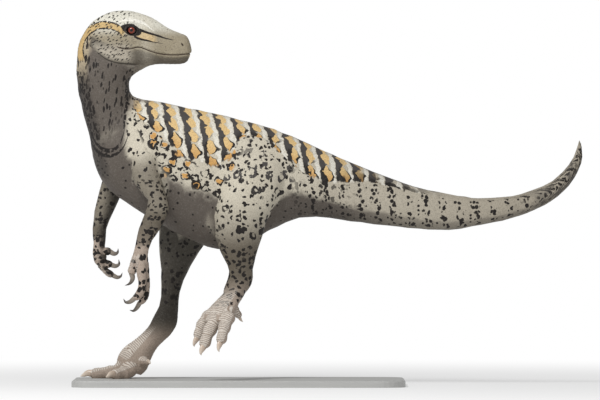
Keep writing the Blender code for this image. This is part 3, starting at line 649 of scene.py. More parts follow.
# Folds in the skin: line, half width and depth
FOLDS = [
    ([(-0.395, -0.200, 1.010), (-0.325, -0.178, 1.065), (-0.240, -0.150, 1.125)], 0.007, 0.0045),
    ([(-0.330, -0.160, 1.045), (-0.260, -0.150, 1.085), (-0.190, -0.135, 1.110)], 0.006, 0.0035),
    ([(-0.350, -0.230, 0.985), (-0.372, -0.215, 1.000), (-0.300, -0.175, 1.090)], 0.006, 0.0030),
    ([(-0.640, -0.275, 1.080), (-0.600, -0.290, 1.072), (-0.545, -0.292, 1.075)], 0.004, 0.0020),
    ([(-0.650, -0.275, 1.045), (-0.600, -0.290, 1.036), (-0.535, -0.290, 1.040)], 0.004, 0.0025),
    ([(-0.640, -0.270, 1.010), (-0.590, -0.285, 1.000), (-0.530, -0.285, 1.008)], 0.004, 0.0020),
    ([(-0.395, 0.200, 1.010), (-0.325, 0.178, 1.065), (-0.240, 0.150, 1.125)], 0.007, 0.0045),
    ([(-1.090, -0.300, 1.085), (-1.060, -0.302, 1.090), (-1.020, -0.302, 1.098)], 0.004, 0.0022),
    ([(-1.085, -0.300, 1.060), (-1.050, -0.303, 1.063), (-1.010, -0.303, 1.070)], 0.004, 0.0022),
    ([(-1.010, -0.200, 1.440), (-0.975, -0.215, 1.330), (-0.965, -0.225, 1.220)], 0.009, 0.0050),
    ([(-1.180, -0.190, 1.420), (-1.200, -0.195, 1.330), (-1.190, -0.200, 1.240)], 0.009, 0.0040),
]


# The line of scutes down the front of the standing foot
SHIN_SCUTES = [(-0.975, 0.17, 0.39), (-1.06, 0.17, 0.28), (-1.15, 0.17, 0.18), (-1.20, 0.17, 0.10)]


def scuted_lines():
    """The lines with scutes across them: node, line, upper side, reach round the line, the scutes' pitch, and
    how far towards the upper side they begin and are full."""
    for node, digits in DIGITS.items():
        for line, radii, _, upper, _ in digits:
            yield node, line, upper, radii[0] * 1.1, 0.0110 if "foot" in node else 0.0090, (0.1, 0.6)
    ahead = raised_axes()[1]
    shin = [np.array(point) for point in SHIN_SCUTES]
    yield "left_foot", metatarsus_line(), ahead * 0.8 + np.array([0, 0, 0.6]), None, 0.0125, (0.25, 0.65)
    yield "right_foot", shin, np.array([-0.75, 0, 0.66]), None, 0.0125, (0.25, 0.65)


def scutes(co):
    """Where scutes lie across the upper side of feet, toes and fingers: how strongly, and the place along
    them counted in scutes."""
    strength, place = np.zeros(len(co)), np.zeros(len(co))
    for node, line, upper, reach, pitch, (low, high) in scuted_lines():
        corners = [np.array(corner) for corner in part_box(node)]
        here = np.flatnonzero(((co > corners[0] - 0.03) & (co < corners[1] + 0.03)).all(axis=1))
        part = co[here]
        distance, along = line_place(part, line)
        whole = sum(np.linalg.norm(b - a) for a, b in zip(line, line[1:]))
        way = (line[-1] - line[0]) / np.linalg.norm(line[-1] - line[0])
        offset = part - line[0] - ((part - line[0]) @ way)[:, None] * way
        facing = (offset @ upper) / np.maximum(np.linalg.norm(offset, axis=1), 1e-6)
        if reach:
            close = step(distance, reach * 1.2, reach * 0.9)
        else:
            close = step(along, 0.0, 0.09) * step(along, whole * 0.97, whole * 0.80)
        own = close * step(facing, low, high)
        better = own > strength[here]
        count = (along + 0.004 * waves(part, 0.09, 21)) / pitch
        place[here] = np.where(better, count, place[here])
        strength[here] = np.where(better, own, strength[here])
    return strength, place


def largest_part(mesh):
    """Deletes all but the largest connected surface."""
    edges = edges_of(mesh)
    label = np.arange(len(mesh.vertices))
    while True:
        low = np.minimum(label[edges[:, 0]], label[edges[:, 1]])
        new = label.copy()
        np.minimum.at(new, edges[:, 0], low)
        np.minimum.at(new, edges[:, 1], low)
        new = new[new]
        new = new[new]
        if (new == label).all():
            break
        label = new
    names, sizes = np.unique(label, return_counts=True)
    if len(names) > 1:
        drop = np.flatnonzero(label != names[np.argmax(sizes)])
        bm = bmesh.new()
        bm.from_mesh(mesh)
        bm.verts.ensure_lookup_table()
        bmesh.ops.delete(bm, geom=[bm.verts[i] for i in drop], context="VERTS")
        bm.to_mesh(mesh)
        bm.free()


def fineness(co):
    """How much of the mesh each place may lose: little on the head, hands and feet."""
    keep = 0.9 * step(co[:, 2], 1.86, 1.90) * step(co[:, 0], -0.6, -0.7)
    for node in DIGITS:
        low, high = (np.array(corner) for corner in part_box(node))
        inside = ((co > low - 0.02) & (co < high + 0.02)).all(axis=1)
        keep = np.where(inside, 0.85, keep)
    return 1 - keep


# Where the creases between joined forms are filled: middle, and reach along x, y and z
SEAMS = [
    ((-0.42, -0.16, 1.42), (0.26, 0.10, 0.16)),
    ((-0.30, -0.16, 1.15), (0.14, 0.10, 0.20)),
    ((-0.50, 0.16, 1.40), (0.26, 0.10, 0.18)),
    ((-0.42, 0.16, 1.15), (0.14, 0.10, 0.20)),
    ((-1.06, -0.17, 1.44), (0.16, 0.08, 0.12)),
    ((-1.20, 0.15, 1.36), (0.16, 0.08, 0.12)),
    ((-0.54, -0.16, 0.59), (0.12, 0.12, 0.07)),
    ((-0.67, -0.32, 0.42), (0.06, 0.06, 0.03)),
    ((-1.19, 0.17, 0.12), (0.03, 0.06, 0.04)),
]


def make_skin(material):
    """The whole skin, formed from the rough body."""
    mesh = remeshed(rough_body())
    largest_part(mesh)
    co, edges = points_of(mesh), edges_of(mesh)
    fine = 1 - fineness(co)
    scale = FINE_CELL / CELL
    # Fill the creases where limbs meet the body, then even out the rest without losing volume
    seams = np.zeros(len(co))
    for centre, reach in SEAMS:
        seams = np.maximum(seams, np.minimum(1.0, 1.6 * near(co, centre, reach)))
    co = softened(co, edges, seams, int(70 * scale**2))
    co = smoothed(co, edges, 1 - 0.4 * (fine > 0.8), int(8 * scale) + 1)
    mesh.vertices.foreach_set("co", co.ravel())
    mesh.update()
    normals = normals_of(mesh)
    lift = detail(co)
    co = co + normals * lift[:, None]
    co = form_eyes(co)
    standing = (co[:, 2] < SOLE) & (co[:, 0] < -0.9)
    co[standing, 2] = SOLE
    co = np.clip(co, *np.array(cad_box))
    mesh.vertices.foreach_set("co", co.ravel())
    mesh.update()
    skin = bpy.data.objects.new("skin", mesh)
    bpy.context.scene.collection.objects.link(skin)
    group = skin.vertex_groups.new(name="lose")
    weight = fineness(co)
    for value in np.unique(np.round(weight, 1)):
        chosen = np.flatnonzero(np.round(weight, 1) == value)
        group.add(chosen.tolist(), float(value), "REPLACE")
    triangles = sum(len(p.vertices) - 2 for p in mesh.polygons)
    modifier = skin.modifiers.new("fewer", "DECIMATE")
    modifier.ratio = min(1.0, TRIANGLES / triangles)
    modifier.vertex_group = "lose"
    modifier.vertex_group_factor = 1.0
    modifier.use_collapse_triangulate = True
    graph = bpy.context.evaluated_depsgraph_get()
    made = bpy.data.meshes.new_from_object(skin.evaluated_get(graph))
    skin.modifiers.clear()
    skin.vertex_groups.clear()
    skin.data = made
    made.materials.clear()
    made.materials.append(material)
    made.shade_smooth()
    mark_skin(made)
    return skin


def around(co):
    """How far each point lies along the body and round it from the middle of its back, in metres, and the
    share of the way round to the belly. The back turns half round the neck, by way of the right side."""
    row, share, cosine, sine, height, width = places(TRUNK, co)
    rows = spline(as_rows(TRUNK), np.arange(len(TRUNK) * 10) / 10)
    middle, _, _ = middles(rows)
    passed = np.concatenate([[0], np.cumsum(np.linalg.norm(np.diff(middle, axis=0), axis=1))])
    length = np.interp(row, np.arange(len(rows)) / 10, passed)
    back = math.pi * (1 - step(row, HEAD_ROW + 0.8, NECK_ROW))
    turned = np.arctan2(sine, cosine) - back
    turned = np.abs((turned + math.pi) % (2 * math.pi) - math.pi)
    return row, share, length, turned * (height + width) / 2, turned / math.pi


# The fields: metres along the body, metres and share of the way round from the back, head, neck, limb, how
# far down the limb, foot, how strongly scutes show, the place counted in scutes, and a limb's inner face,
# where painted shade goes
FIELDS = ["along", "away", "turned", "head", "neck", "limb", "reach", "foot", "scuted", "scute", "inner"]


def mark_skin(mesh):
    """Stores the fields that the skin's markings and its painted shade follow."""
    co, normals = points_of(mesh), normals_of(mesh)
    row, share, length, away, turned = around(co)
    head = step(row, HEAD_ROW + 0.2, HEAD_ROW - 1.2) * step(share, 1.5, 1.3)
    neck = step(row, HEAD_ROW - 1.2, HEAD_ROW + 0.2) * step(row, NECK_ROW + 0.4, NECK_ROW - 0.8)
    limb, reach, foot = np.zeros(len(co)), np.zeros(len(co)), np.zeros(len(co))
    for name, table in LIMBS.items():
        along, close, _, _, _, _ = places(table, co)
        own = step(close, 1.5, 1.15) * step(share, 0.98, 1.10) * step(along, 0.3, 1.2)
        reach = np.where(own > limb, along / (len(table) - 1), reach)
        limb = np.maximum(limb, own)
    for node in DIGITS:
        low, high = (np.array(corner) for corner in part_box(node))
        inside = ((co > low - 0.03) & (co < high + 0.03)).all(axis=1)
        limb = np.where(inside, 1.0, limb)
        reach = np.where(inside, 1.0, reach)
        if "foot" in node:
            foot = np.where(inside, step(co[:, 2], high[2] + 0.02, high[2] - 0.16), foot)
    scuted, scute = scutes(co)
    # Painted shade: a limb's faces that turn towards the body's middle, on the arms only those that also face
    # the tail
    inner = step(normals[:, 1] * np.where(co[:, 1] > 0, -1, 1), -0.15, 0.45)
    arm = (co[:, 0] < np.where(co[:, 1] > 0, -1.10, -0.93)) & (co[:, 2] > 0.45)
    inner *= np.where(arm, step(normals[:, 0], -0.35, 0.35), 1)
    values_of = (length, away, turned, head, neck, limb, reach, foot, scuted, scute, inner)
    for name, values in zip(FIELDS, values_of):
        field = mesh.attributes.new(name, "FLOAT", "POINT")
        field.data.foreach_set("value", values.astype(np.float32))


class Value:
    """A number in a material's node tree. Arithmetic with it adds Math nodes."""

    def __init__(self, socket):
        self.socket = socket

    def math(self, kind, *others):
        node = self.socket.id_data.nodes.new("ShaderNodeMath")
        node.operation = kind
        for slot, value in zip(node.inputs, (self, *others)):
            plug(value, slot)
        return Value(node.outputs[0])

    def __add__(self, other):
        return self.math("ADD", other)

    def __sub__(self, other):
        return self.math("SUBTRACT", other)

    def __rsub__(self, other):
        return (self * -1.0) + other

    def __mul__(self, other):
        return self.math("MULTIPLY", other)

    def __truediv__(self, other):
        return self.math("DIVIDE", other)

    def __or__(self, other):
        return self.math("MAXIMUM", other)

    __radd__ = __add__
    __rmul__ = __mul__

    def inverse(self):
        return 1.0 - self

    def rise(self, low, high):
        """0 below low and 1 above high, smoothly. low may be the larger."""
        node = self.socket.id_data.nodes.new("ShaderNodeMapRange")
        node.interpolation_type = "SMOOTHSTEP"
        plug(self, node.inputs["Value"])
        plug(low, node.inputs["From Min"])
        plug(high, node.inputs["From Max"])
        return Value(node.outputs["Result"])

    def curve(self, points):
        """The height over this value of a smooth curve through the points."""
        left, right = points[0][0], points[-1][0]
        low = min(h for _, h in points)
        span = max(max(h for _, h in points) - low, 1e-6)
        node = self.socket.id_data.nodes.new("ShaderNodeFloatCurve")
        line = node.mapping.curves[0]
        while len(line.points) < len(points):
            line.points.new(0.5, 0.5)
        for k, (place, height) in enumerate(points):
            line.points[k].location = ((place - left) / (right - left), (height - low) / span)
        node.mapping.update()
        plug((self - left) / (right - left), node.inputs["Value"])
        return Value(node.outputs[0]) * span + low


def plug(value, slot):
    if isinstance(value, Value):
        value.socket.id_data.links.new(value.socket, slot)
    else:
        slot.default_value = value


def vector(x, y, z=0.0):
    node = x.socket.id_data.nodes.new("ShaderNodeCombineXYZ")
    for slot, value in zip(node.inputs, (x, y, z)):
        plug(value, slot)
    return Value(node.outputs[0])


def noise(place, scale, detail=2.0, seed=0.0):
    """Unevenness between about -0.5 and 0.5."""
    node = place.socket.id_data.nodes.new("ShaderNodeTexNoise")
    node.noise_dimensions = "4D"
    plug(place, node.inputs["Vector"])
    node.inputs["W"].default_value = seed
    node.inputs["Scale"].default_value = scale
    node.inputs["Detail"].default_value = detail
    return Value(node.outputs["Fac"]) - 0.5


def cells(place, scale=1.0, randomness=1.0, flat=True):
    """The distance from the nearest of many scattered points, and a random number for that point."""
    node = place.socket.id_data.nodes.new("ShaderNodeTexVoronoi")
    node.voronoi_dimensions = "2D" if flat else "3D"
    plug(place, node.inputs["Vector"])
    node.inputs["Scale"].default_value = scale
    node.inputs["Randomness"].default_value = randomness
    parts = place.socket.id_data.nodes.new("ShaderNodeSeparateColor")
    plug(Value(node.outputs["Color"]), parts.inputs[0])
    return Value(node.outputs["Distance"]), Value(parts.outputs[0])


def rgb(red, green, blue):
    """A shader colour from the colour seen, each part from 0 to 255."""
    shares = (red / 255, green / 255, blue / 255)
    return tuple(share / 12.92 if share < 0.0404 else ((share + 0.055) / 1.055)**2.4 for share in shares)


def painted(under, mask, colour):
    """The colour over the one under it where the mask is 1. A colour is a node's or an (r, g, b)."""
    node = mask.socket.id_data.nodes.new("ShaderNodeMix")
    node.data_type = "RGBA"
    node.clamp_factor = True
    plug(mask, node.inputs[0])
    for value, slot in ((under, node.inputs[6]), (colour, node.inputs[7])):
        plug(value if isinstance(value, Value) else (*value, 1.0), slot)
    return Value(node.outputs[2])


def bump(heights, distance, tree, under=None):
    node = tree.nodes.new("ShaderNodeBump")
    node.inputs["Strength"].default_value = 1.0
    node.inputs["Distance"].default_value = distance
    plug(heights, node.inputs["Height"])
    if under:
        plug(under, node.inputs["Normal"])
    return Value(node.outputs["Normal"])


def new_material(name, roughness):
    material = bpy.data.materials.new(name)
    material.use_nodes = True
    tree = material.node_tree
    shader = tree.nodes["Principled BSDF"]
    shader.inputs["Roughness"].default_value = roughness
    place = tree.nodes.new("ShaderNodeTexCoord").outputs["Object"]
    parts = tree.nodes.new("ShaderNodeSeparateXYZ")
    tree.links.new(place, parts.inputs[0])
    return material, tree, shader, Value(place), [Value(part) for part in parts.outputs]


def attribute(tree, name):
    node = tree.nodes.new("ShaderNodeAttribute")
    node.attribute_name = name
    return Value(node.outputs["Fac"])


# Colours of the skin, as seen, and of the shade painted on it
CREAM = rgb(205, 198, 181)
PALE = rgb(228, 225, 214)
TAN = rgb(219, 187, 131)
ORANGE = rgb(203, 155, 90)
CHARCOAL = rgb(72, 69, 67)
INK = rgb(26, 23, 21)
MAUVE = rgb(92, 85, 78)
# The dark colour of the shade painted on the limbs' inner faces and under the tail
PAINTED_SHADE = rgb(50, 47, 42)
BROWN = rgb(103, 95, 82)
SNOUT = rgb(147, 137, 116)
JAW = rgb(93, 87, 76)
PINK = rgb(173, 157, 143)
SCUTE = rgb(226, 218, 207)
SCUTE_GAP = rgb(124, 104, 90)
PEBBLE_GAP = rgb(70, 63, 58)
DULL_CREAM = rgb(190, 181, 162)
TAIL_GREY = rgb(150, 141, 126)
NAPE = rgb(186, 172, 148)
LOW_NAPE = rgb(140, 132, 124)
BAND = rgb(180, 166, 140)
BAND_DARK = rgb(142, 130, 110)
NECK_SHADE = rgb(62, 58, 54)
CROWN = rgb(210, 207, 194)
CHEEK = rgb(168, 160, 145)
EYE_STRIPE = rgb(208, 180, 126)
EYE_STRIPE_DARK = rgb(172, 144, 98)
# Painted shade for the mouth's groove and the nostril slits
MOUTH_SHADE = rgb(58, 44, 36)
NOSTRIL_SHADE = rgb(50, 38, 32)
FRECKLE = rgb(92, 80, 68)

# The back's stripes: their pitch, how far they lean per metre down, where they start, and how far down from
# the back they reach at each x
STRIPE_PITCH = 0.103
STRIPE_LEAN = 0.17
STRIPE_START = -1.215
STRIPE_DEPTH = [(-1.26, 0.04), (-1.20, 0.10), (-1.10, 0.22), (-0.96, 0.31), (-0.82, 0.37), (-0.66, 0.37),
                (-0.56, 0.27), (-0.44, 0.17), (-0.30, 0.20), (-0.10, 0.23), (0.10, 0.17), (0.32, 0.10),
                (0.65, 0.06), (1.20, 0.03)]

# The neck's left outline in the side view: (z, x)
NECK_EDGE = [(1.150, -1.290), (1.205, -1.338), (1.342, -1.402), (1.490, -1.428), (1.655, -1.472),
             (1.845, -1.505), (2.010, -1.500), (2.150, -1.450)]

# The eye's middle, and the circle that the tan stripe behind it follows: its middle's x and z, and its radius
EYE = (-1.176, 2.131)
STRIPE_ARC = (-1.335, 2.010, 0.151)

# Lines on the head and neck: (x, z) points and the half width at each
FRONT_UPPER = [(-1.140, 2.137, 0.007), (-1.126, 2.131, 0.009), (-1.078, 2.114, 0.007), (-1.020, 2.097, 0.006),
               (-0.967, 2.080, 0.004), (-0.925, 2.072, 0.001)]
FRONT_LOWER = [(-1.160, 2.093, 0.006), (-1.150, 2.087, 0.007), (-1.117, 2.075, 0.006), (-1.078, 2.066, 0.005),
               (-1.039, 2.058, 0.003), (-0.990, 2.050, 0.001)]
BROW_LINE = [(-1.250, 2.176, 0.001), (-1.215, 2.190, 0.007), (-1.160, 2.188, 0.010), (-1.110, 2.175, 0.009),
             (-1.070, 2.146, 0.005), (-1.040, 2.125, 0.001)]
COLLARS = [
    [(-1.430, 1.560, 0.003), (-1.415, 1.500, 0.009), (-1.380, 1.445, 0.011), (-1.345, 1.418, 0.012),
     (-1.300, 1.410, 0.012), (-1.260, 1.430, 0.012), (-1.232, 1.480, 0.011), (-1.215, 1.560, 0.004)],
    [(-1.440, 1.500, 0.003), (-1.410, 1.440, 0.008), (-1.375, 1.400, 0.010), (-1.335, 1.380, 0.010),
     (-1.290, 1.380, 0.010), (-1.245, 1.405, 0.009), (-1.205, 1.470, 0.006), (-1.190, 1.540, 0.003)],
]

# The dark line down the side of the neck that faces the tail: (z, x, half width)
NECK_LINE = [(1.540, -1.222, 0.003), (1.600, -1.216, 0.008), (1.680, -1.208, 0.010), (1.760, -1.206, 0.009),
             (1.820, -1.212, 0.006), (1.860, -1.216, 0.002)]


def drawn(across, height, line, ragged, soft=0.0015):
    """A line of varying width over a range of the first coordinate."""
    middle = across.curve([(a, b) for a, b, _ in line])
    width = across.curve([(a, w) for a, _, w in line])
    off = (height - middle + ragged).math("ABSOLUTE") - width
    ends = across.rise(line[0][0] - 0.001, line[0][0]) * across.rise(line[-1][0] + 0.001, line[-1][0])
    return off.rise(soft, -soft) * ends


class Coat:
    """The skin's colour, painted on in layers, and the fields that its marks follow."""

    def __init__(self, tree, place, x, y, z):
        self.place, self.x, self.y, self.z = place, x, y, z
        for name in FIELDS:
            setattr(self, name, attribute(tree, name))
        self.trunk = self.limb.inverse()
        self.body = self.head.inverse() * self.neck.inverse()
        self.torso = self.trunk * self.body
        self.slow = noise(place, 5.0, 3.0, 1.0)
        self.mid = noise(place, 22.0, 3.0, 2.0)
        self.fine = noise(place, 75.0, 2.0, 3.0)
        self.broken = noise(vector(x * 55.0, z * 55.0), 1.0, 1.0, 7.0) + 0.5
        # The same pattern doesn't fall on both sides
        self.other = y.rise(-0.02, 0.02) * 0.37
        self.arms = (x + y.rise(-0.05, 0.05) * 0.17).rise(-0.93, -0.96) * z.rise(0.42, 0.45)
        self.cheek = x.rise(-1.14, -1.22)
        self.above_jaw = (z - x.curve(JAW_LINE) + self.mid * 0.02).rise(-0.012, 0.006)
        self.edge_side = (x - z.curve(NECK_EDGE)).rise(0.095, 0.045)
        self.colour = CREAM

    def fields(self, names):
        return [getattr(self, name) for name in names.split()]

    def paint(self, mask, colour):
        self.colour = painted(self.colour, mask, colour)


def spots(place, scale, size, vary, ragged, soft, kept, scatter=0.9, flat=True):
    """Scattered spots with ragged edges. Sizes are in cells, and kept says which of them are there."""
    apart, chance = cells(place, scale, scatter, flat)
    return (apart - size - chance * vary + ragged).rise(soft, -soft) * chance.rise(*kept)


def paint_body_ground(coat):
    """Cream above, grey below, grey on the breast and the front of the neck, and painted shade along the
    tail's underside.
    """
    x, z, slow, mid, neck, trunk, torso, turned = coat.fields("x z slow mid neck trunk torso turned")
    coat.paint((slow + 0.5) * 0.7, DULL_CREAM)
    tail = x.rise(-0.35, 0.10)
    edge = turned + mid * 0.10 + slow * 0.05
    coat.grey = coat.body * trunk.rise(0.45, 0.9) * (edge - tail * 0.10).rise(0.53, 0.61)
    coat.paint(torso * tail * (0.35 + x.rise(0.2, 1.5) * 0.4), TAIL_GREY)
    coat.paint(coat.grey * (1.0 - x.rise(0.0, 0.6) * 0.55), MAUVE)
    coat.paint(torso * (x + mid * 0.03 + slow * 0.03).rise(-1.185, -1.235), MAUVE)
    before = (x - z.curve([(a, b) for a, b, _ in NECK_LINE])).rise(0.006, -0.006) * z.rise(1.50, 1.56)
    coat.paint(trunk * before * coat.head.inverse(), MAUVE)
    # Painted shade: a darker band along the underside of the tail
    coat.paint(torso * tail * edge.rise(0.66, 0.95) * 0.35, PAINTED_SHADE)
    nape = (turned + mid * 0.10).rise(0.36, 0.20)
    coat.paint(neck, painted(MAUVE, nape, NAPE))
    coat.paint(neck * nape * z.rise(1.88, 1.80), LOW_NAPE)


def paint_head_ground(coat):
    """A pale crown, a brown snout, and a grey jaw set off from the throat by a crease, with painted shade
    along it.
    """
    x, z, mid, head, neck, cheek = coat.fields("x z mid head neck cheek")
    side = painted(SNOUT, z.rise(2.08, 2.17), CROWN)
    side = painted(side, (z - x.curve(MOUTH) + mid * 0.02).rise(0.004, -0.030), JAW)
    side = painted(side, cheek * z.rise(2.08, 2.00), CHEEK)
    side = painted(side, cheek * (z - x.curve(JAW_LINE)).rise(0.035, 0.0) * 0.8, JAW)
    hind = x.rise(-1.44, -1.41) * x.rise(-1.00, -1.18)
    zone = head * hind.inverse() | (head + neck).rise(0.4, 0.9) * hind * coat.above_jaw
    coat.paint(head * hind * z.rise(2.02, 1.98), MAUVE)
    coat.paint(zone, side)
    # Painted shade: a dark line along the crease under the jaw
    crease = (z - x.curve(JAW_LINE)).math("ABSOLUTE").rise(0.006, 0.002)
    crease *= x.rise(-1.40, -1.36) * x.rise(-1.12, -1.17)
    coat.paint((head + neck).rise(0.4, 0.9) * crease * 0.75, INK)


def paint_limb_ground(coat):
    """Browner down the limbs and brown all along the arms, partly as painted shade; pink on feet and hands;
    and painted shade on the limbs' inner faces.
    """
    limb, reach, foot, arms = coat.fields("limb reach foot arms")
    # On the arms the brown reaches up to the shoulder, partly their colour and partly painted shade
    coat.paint(limb * (reach.rise(0.18, 0.54) | arms * reach.rise(-0.1, 0.2) * 0.8), BROWN)
    coat.paint(limb * (foot | arms * reach.rise(0.55, 1.0)), PINK)
    # Painted shade on the inner faces of the limbs, left off the feet
    coat.paint(limb * coat.inner * foot.inverse() * 0.9, PAINTED_SHADE)


def paint_stripes(coat):
    """Stripes of charcoal down the back, each with tan ovals beside it and a white edge before the next."""
    x, slow, mid, fine, away = coat.fields("x slow mid fine away")
    wobble = mid * 0.050 + slow * 0.03 + fine * 0.012
    phase = ((x - away * STRIPE_LEAN + wobble + coat.other * 0.11) - STRIPE_START) / STRIPE_PITCH
    turn = phase.math("FRACT")
    low = away / x.curve(STRIPE_DEPTH)
    bead = (away + phase.math("FLOOR") * 0.043 + slow * 0.06) / 0.088 + coat.other
    scallop = (bead.math("PINGPONG", 0.5) * 2.0).math("POWER", 0.75) * low.rise(-0.5, 0.6)
    striped = coat.body * coat.trunk.rise(0.2, 0.7) * x.rise(STRIPE_START, STRIPE_START + 0.03)
    reaching = striped * (low + mid * 0.35 + fine * 0.10).rise(1.10, 1.04) * x.rise(0.75, 0.35)
    dark = reaching * turn.rise(0.0, 0.04) * (turn + mid * 0.22 + low.rise(0.4, 1.0) * 0.14).rise(0.52, 0.48)
    tan_width = (scallop * 0.30 + 0.05 - low.rise(0.2, 0.7) * 0.08 + fine * 0.08) | 0.004
    tan_off = (turn - 0.50 + mid * 0.16).math("ABSOLUTE") / tan_width
    ring = reaching * tan_off.rise(1.75, 1.55) * (low + mid * 0.5).rise(0.55, 0.85)
    coat.paint(reaching * turn.rise(0.70, 0.78) * (turn + fine * 0.55).rise(1.02, 0.94) * 0.75, PALE)
    coat.paint(dark, painted(CHARCOAL, low.rise(0.7, 1.0) * 0.8, INK))
    coat.paint(ring, INK)
    tan = reaching * tan_off.rise(1.06, 0.94) * x.rise(0.35, 0.0)
    coat.paint(tan, painted(TAN, low.rise(0.75, 1.1), ORANGE))
    coat.paint(striped * (away + mid * 0.03).rise(0.024, 0.014) * x.rise(0.9, 0.3) * 0.85, CHARCOAL)
    coat.turn, coat.low = turn, low
    coat.below = striped * (low + slow * 0.2).rise(1.04, 1.12) * coat.grey.rise(0.6, 0.2)


def paint_rosettes(coat):
    """Rosettes with orange middles below the stripes, broken grey-black rings on the hip, and small dots."""
    x, y, z, slow, mid, fine = coat.fields("x y z slow mid fine")
    limb, reach, below, low = coat.fields("limb reach below low")
    across = x + mid * 0.050 + fine * 0.010 + coat.other
    upward = z + noise(coat.place, 26.0, 3.0, 8.0) * 0.055 + fine * 0.006
    apart, chance = cells(vector(across, upward), 1 / 0.068, 0.80)
    size = 0.19 + chance * 0.08
    heart = (apart - size + fine * 0.20).rise(0.02, -0.02)
    rim = (apart - size - 0.11).math("ABSOLUTE") - 0.085 + slow * 0.2 + mid * 0.65 + fine * 0.15
    zone = below * x.rise(-0.45, -0.55) * x.rise(-1.30, -1.15) * (low + mid * 0.3).rise(1.75, 1.45)
    coat.paint(zone * rim.rise(0.015, -0.015) * chance.rise(0.08, 0.1), INK)
    coat.paint(zone * heart * chance.rise(0.40, 0.44), ORANGE)
    apart, chance = cells(vector(across + 3.7, upward), 1 / 0.080, 0.90)
    rim = (apart - 0.15 - chance * 0.08).math("ABSOLUTE") - 0.085 + mid * 0.85 + fine * 0.20
    haunch = (limb * reach.rise(0.95, 0.5) + below).rise(0.12, 0.35)
    haunch *= x.rise(-0.72, -0.60) * x.rise(-0.10, -0.25)
    coat.paint(haunch * rim.rise(0.012, -0.012) * chance.rise(0.25, 0.29) * z.rise(0.60, 0.75),
               painted(CHARCOAL, z.rise(1.30, 1.05), INK))
    ragged = mid * 0.3 + fine * 0.18 - limb * reach.rise(0.3, 0.7) * 0.10
    spread = vector(across + 9.1, y, upward)
    dots = spots(spread, 1 / 0.033, 0.26, 0.12, ragged, 0.02, (0.12, 0.15), flat=False)
    coat.paint((below + limb * z.rise(0.45, 0.55)).rise(0.12, 0.35) * x.rise(0.30, -0.1) * dots, INK)


def paint_arm_marks(coat):
    """Short dashes across the arms."""
    x, y, z, mid, fine = coat.fields("x y z mid fine")
    bent = vector((x + mid * 0.02) / 0.040, y / 0.036, (z + mid * 0.030) / 0.021)
    dashes = spots(bent, 1.0, 0.27, 0.08, fine * 0.2, 0.02, (0.30, 0.34), 0.95, False)
    coat.paint(coat.limb * coat.arms * z.rise(0.72, 0.80) * z.rise(1.30, 1.20) * dashes, INK)


def paint_tail_marks(coat):
    """Sparse dots underneath, and clusters of dots in upright bands, closer and darker towards the tip."""
    x, y, z, slow, mid, fine, torso, other = coat.fields("x y z slow mid fine torso other")
    unrolled = vector(coat.along + other, coat.away)
    sparse = spots(unrolled, 1 / 0.058, 0.075, 0.05, fine * 0.06, 0.012, (0.25, 0.3))
    coat.paint(torso * coat.grey * sparse, INK)
    apart, chance = cells(vector(x + other, y, z + mid * 0.02), 1 / 0.026, 0.9, False)
    banded = (coat.turn - 0.25 + mid * 0.40).math("ABSOLUTE").rise(0.25, 0.15) | x.rise(1.0, 1.4)
    cluster = (apart - 0.20 - chance * 0.12 - banded * 0.24 + mid * 0.4 + fine * 0.2).rise(0.03, -0.03)
    zone = torso * x.rise(-0.30, -0.10) * coat.low.rise(0.85, 1.0)
    zone *= (coat.turned + slow * 0.3).rise(0.95, 0.80)
    coat.paint(zone * cluster * (banded | chance.rise(0.80, 0.82)), INK)
    coat.paint(torso * x.rise(1.05, 1.5) * (mid + slow).rise(-0.05, 0.15) * 0.8, CHARCOAL)


def paint_neck_marks(coat):
    """Long dashes down the nape, sparse ones on the throat, painted shade near the neck's left outline in the
    side view, two collars, and a line towards the shoulders.
    """
    x, y, z, slow, mid, fine = coat.fields("x y z slow mid fine")
    head, neck, torso, edge_side, broken = coat.fields("head neck torso edge_side broken")
    band = (head + neck).rise(0.3, 0.6) * (x - z.curve(NECK_EDGE)).rise(0.080, 0.055) * z.rise(2.16, 2.10)
    coat.paint(band * z.rise(1.74, 1.98), painted(BAND, mid + 0.5, BAND_DARK))
    throat = neck | (torso * x.rise(-1.18, -1.24) * z.rise(1.22, 1.30))
    # Painted shade along the neck's left outline in the side view
    coat.paint(throat * edge_side * 0.75 * z.rise(1.92, 1.80), NECK_SHADE)
    strand = vector((x - z * 0.12 + mid * 0.02) / 0.016, y / 0.016, (z + slow * 0.05) / 0.050)
    apart, chance = cells(strand, 1.0, 0.95, False)
    dash = (apart - 0.34 - edge_side * 0.08 - chance * 0.12 + fine * 0.2).rise(0.03, -0.03)
    coat.paint((neck | band) * dash * edge_side * chance.rise(0.15, 0.2), INK)
    coat.paint(neck * coat.above_jaw.inverse() * dash * chance.rise(0.50, 0.54), INK)
    speckle = spots(coat.place, 1 / 0.021, 0.34, 0.15, mid * 0.4, 0.03, (0.2, 0.25), 0.95, False)
    coat.paint(throat * speckle * z.rise(1.92, 1.84) * edge_side, INK)
    for collar in COLLARS:
        line = drawn(x, z, collar, mid * 0.008) * broken.rise(0.38, 0.43) * y.rise(0.0, -0.03)
        coat.paint(line * coat.trunk, INK)
    seam = drawn(z, x, NECK_LINE, mid * 0.02) * broken.rise(0.40, 0.45) * y.rise(0.02, -0.01)
    coat.paint((neck + torso).rise(0.3, 0.6) * seam, INK)


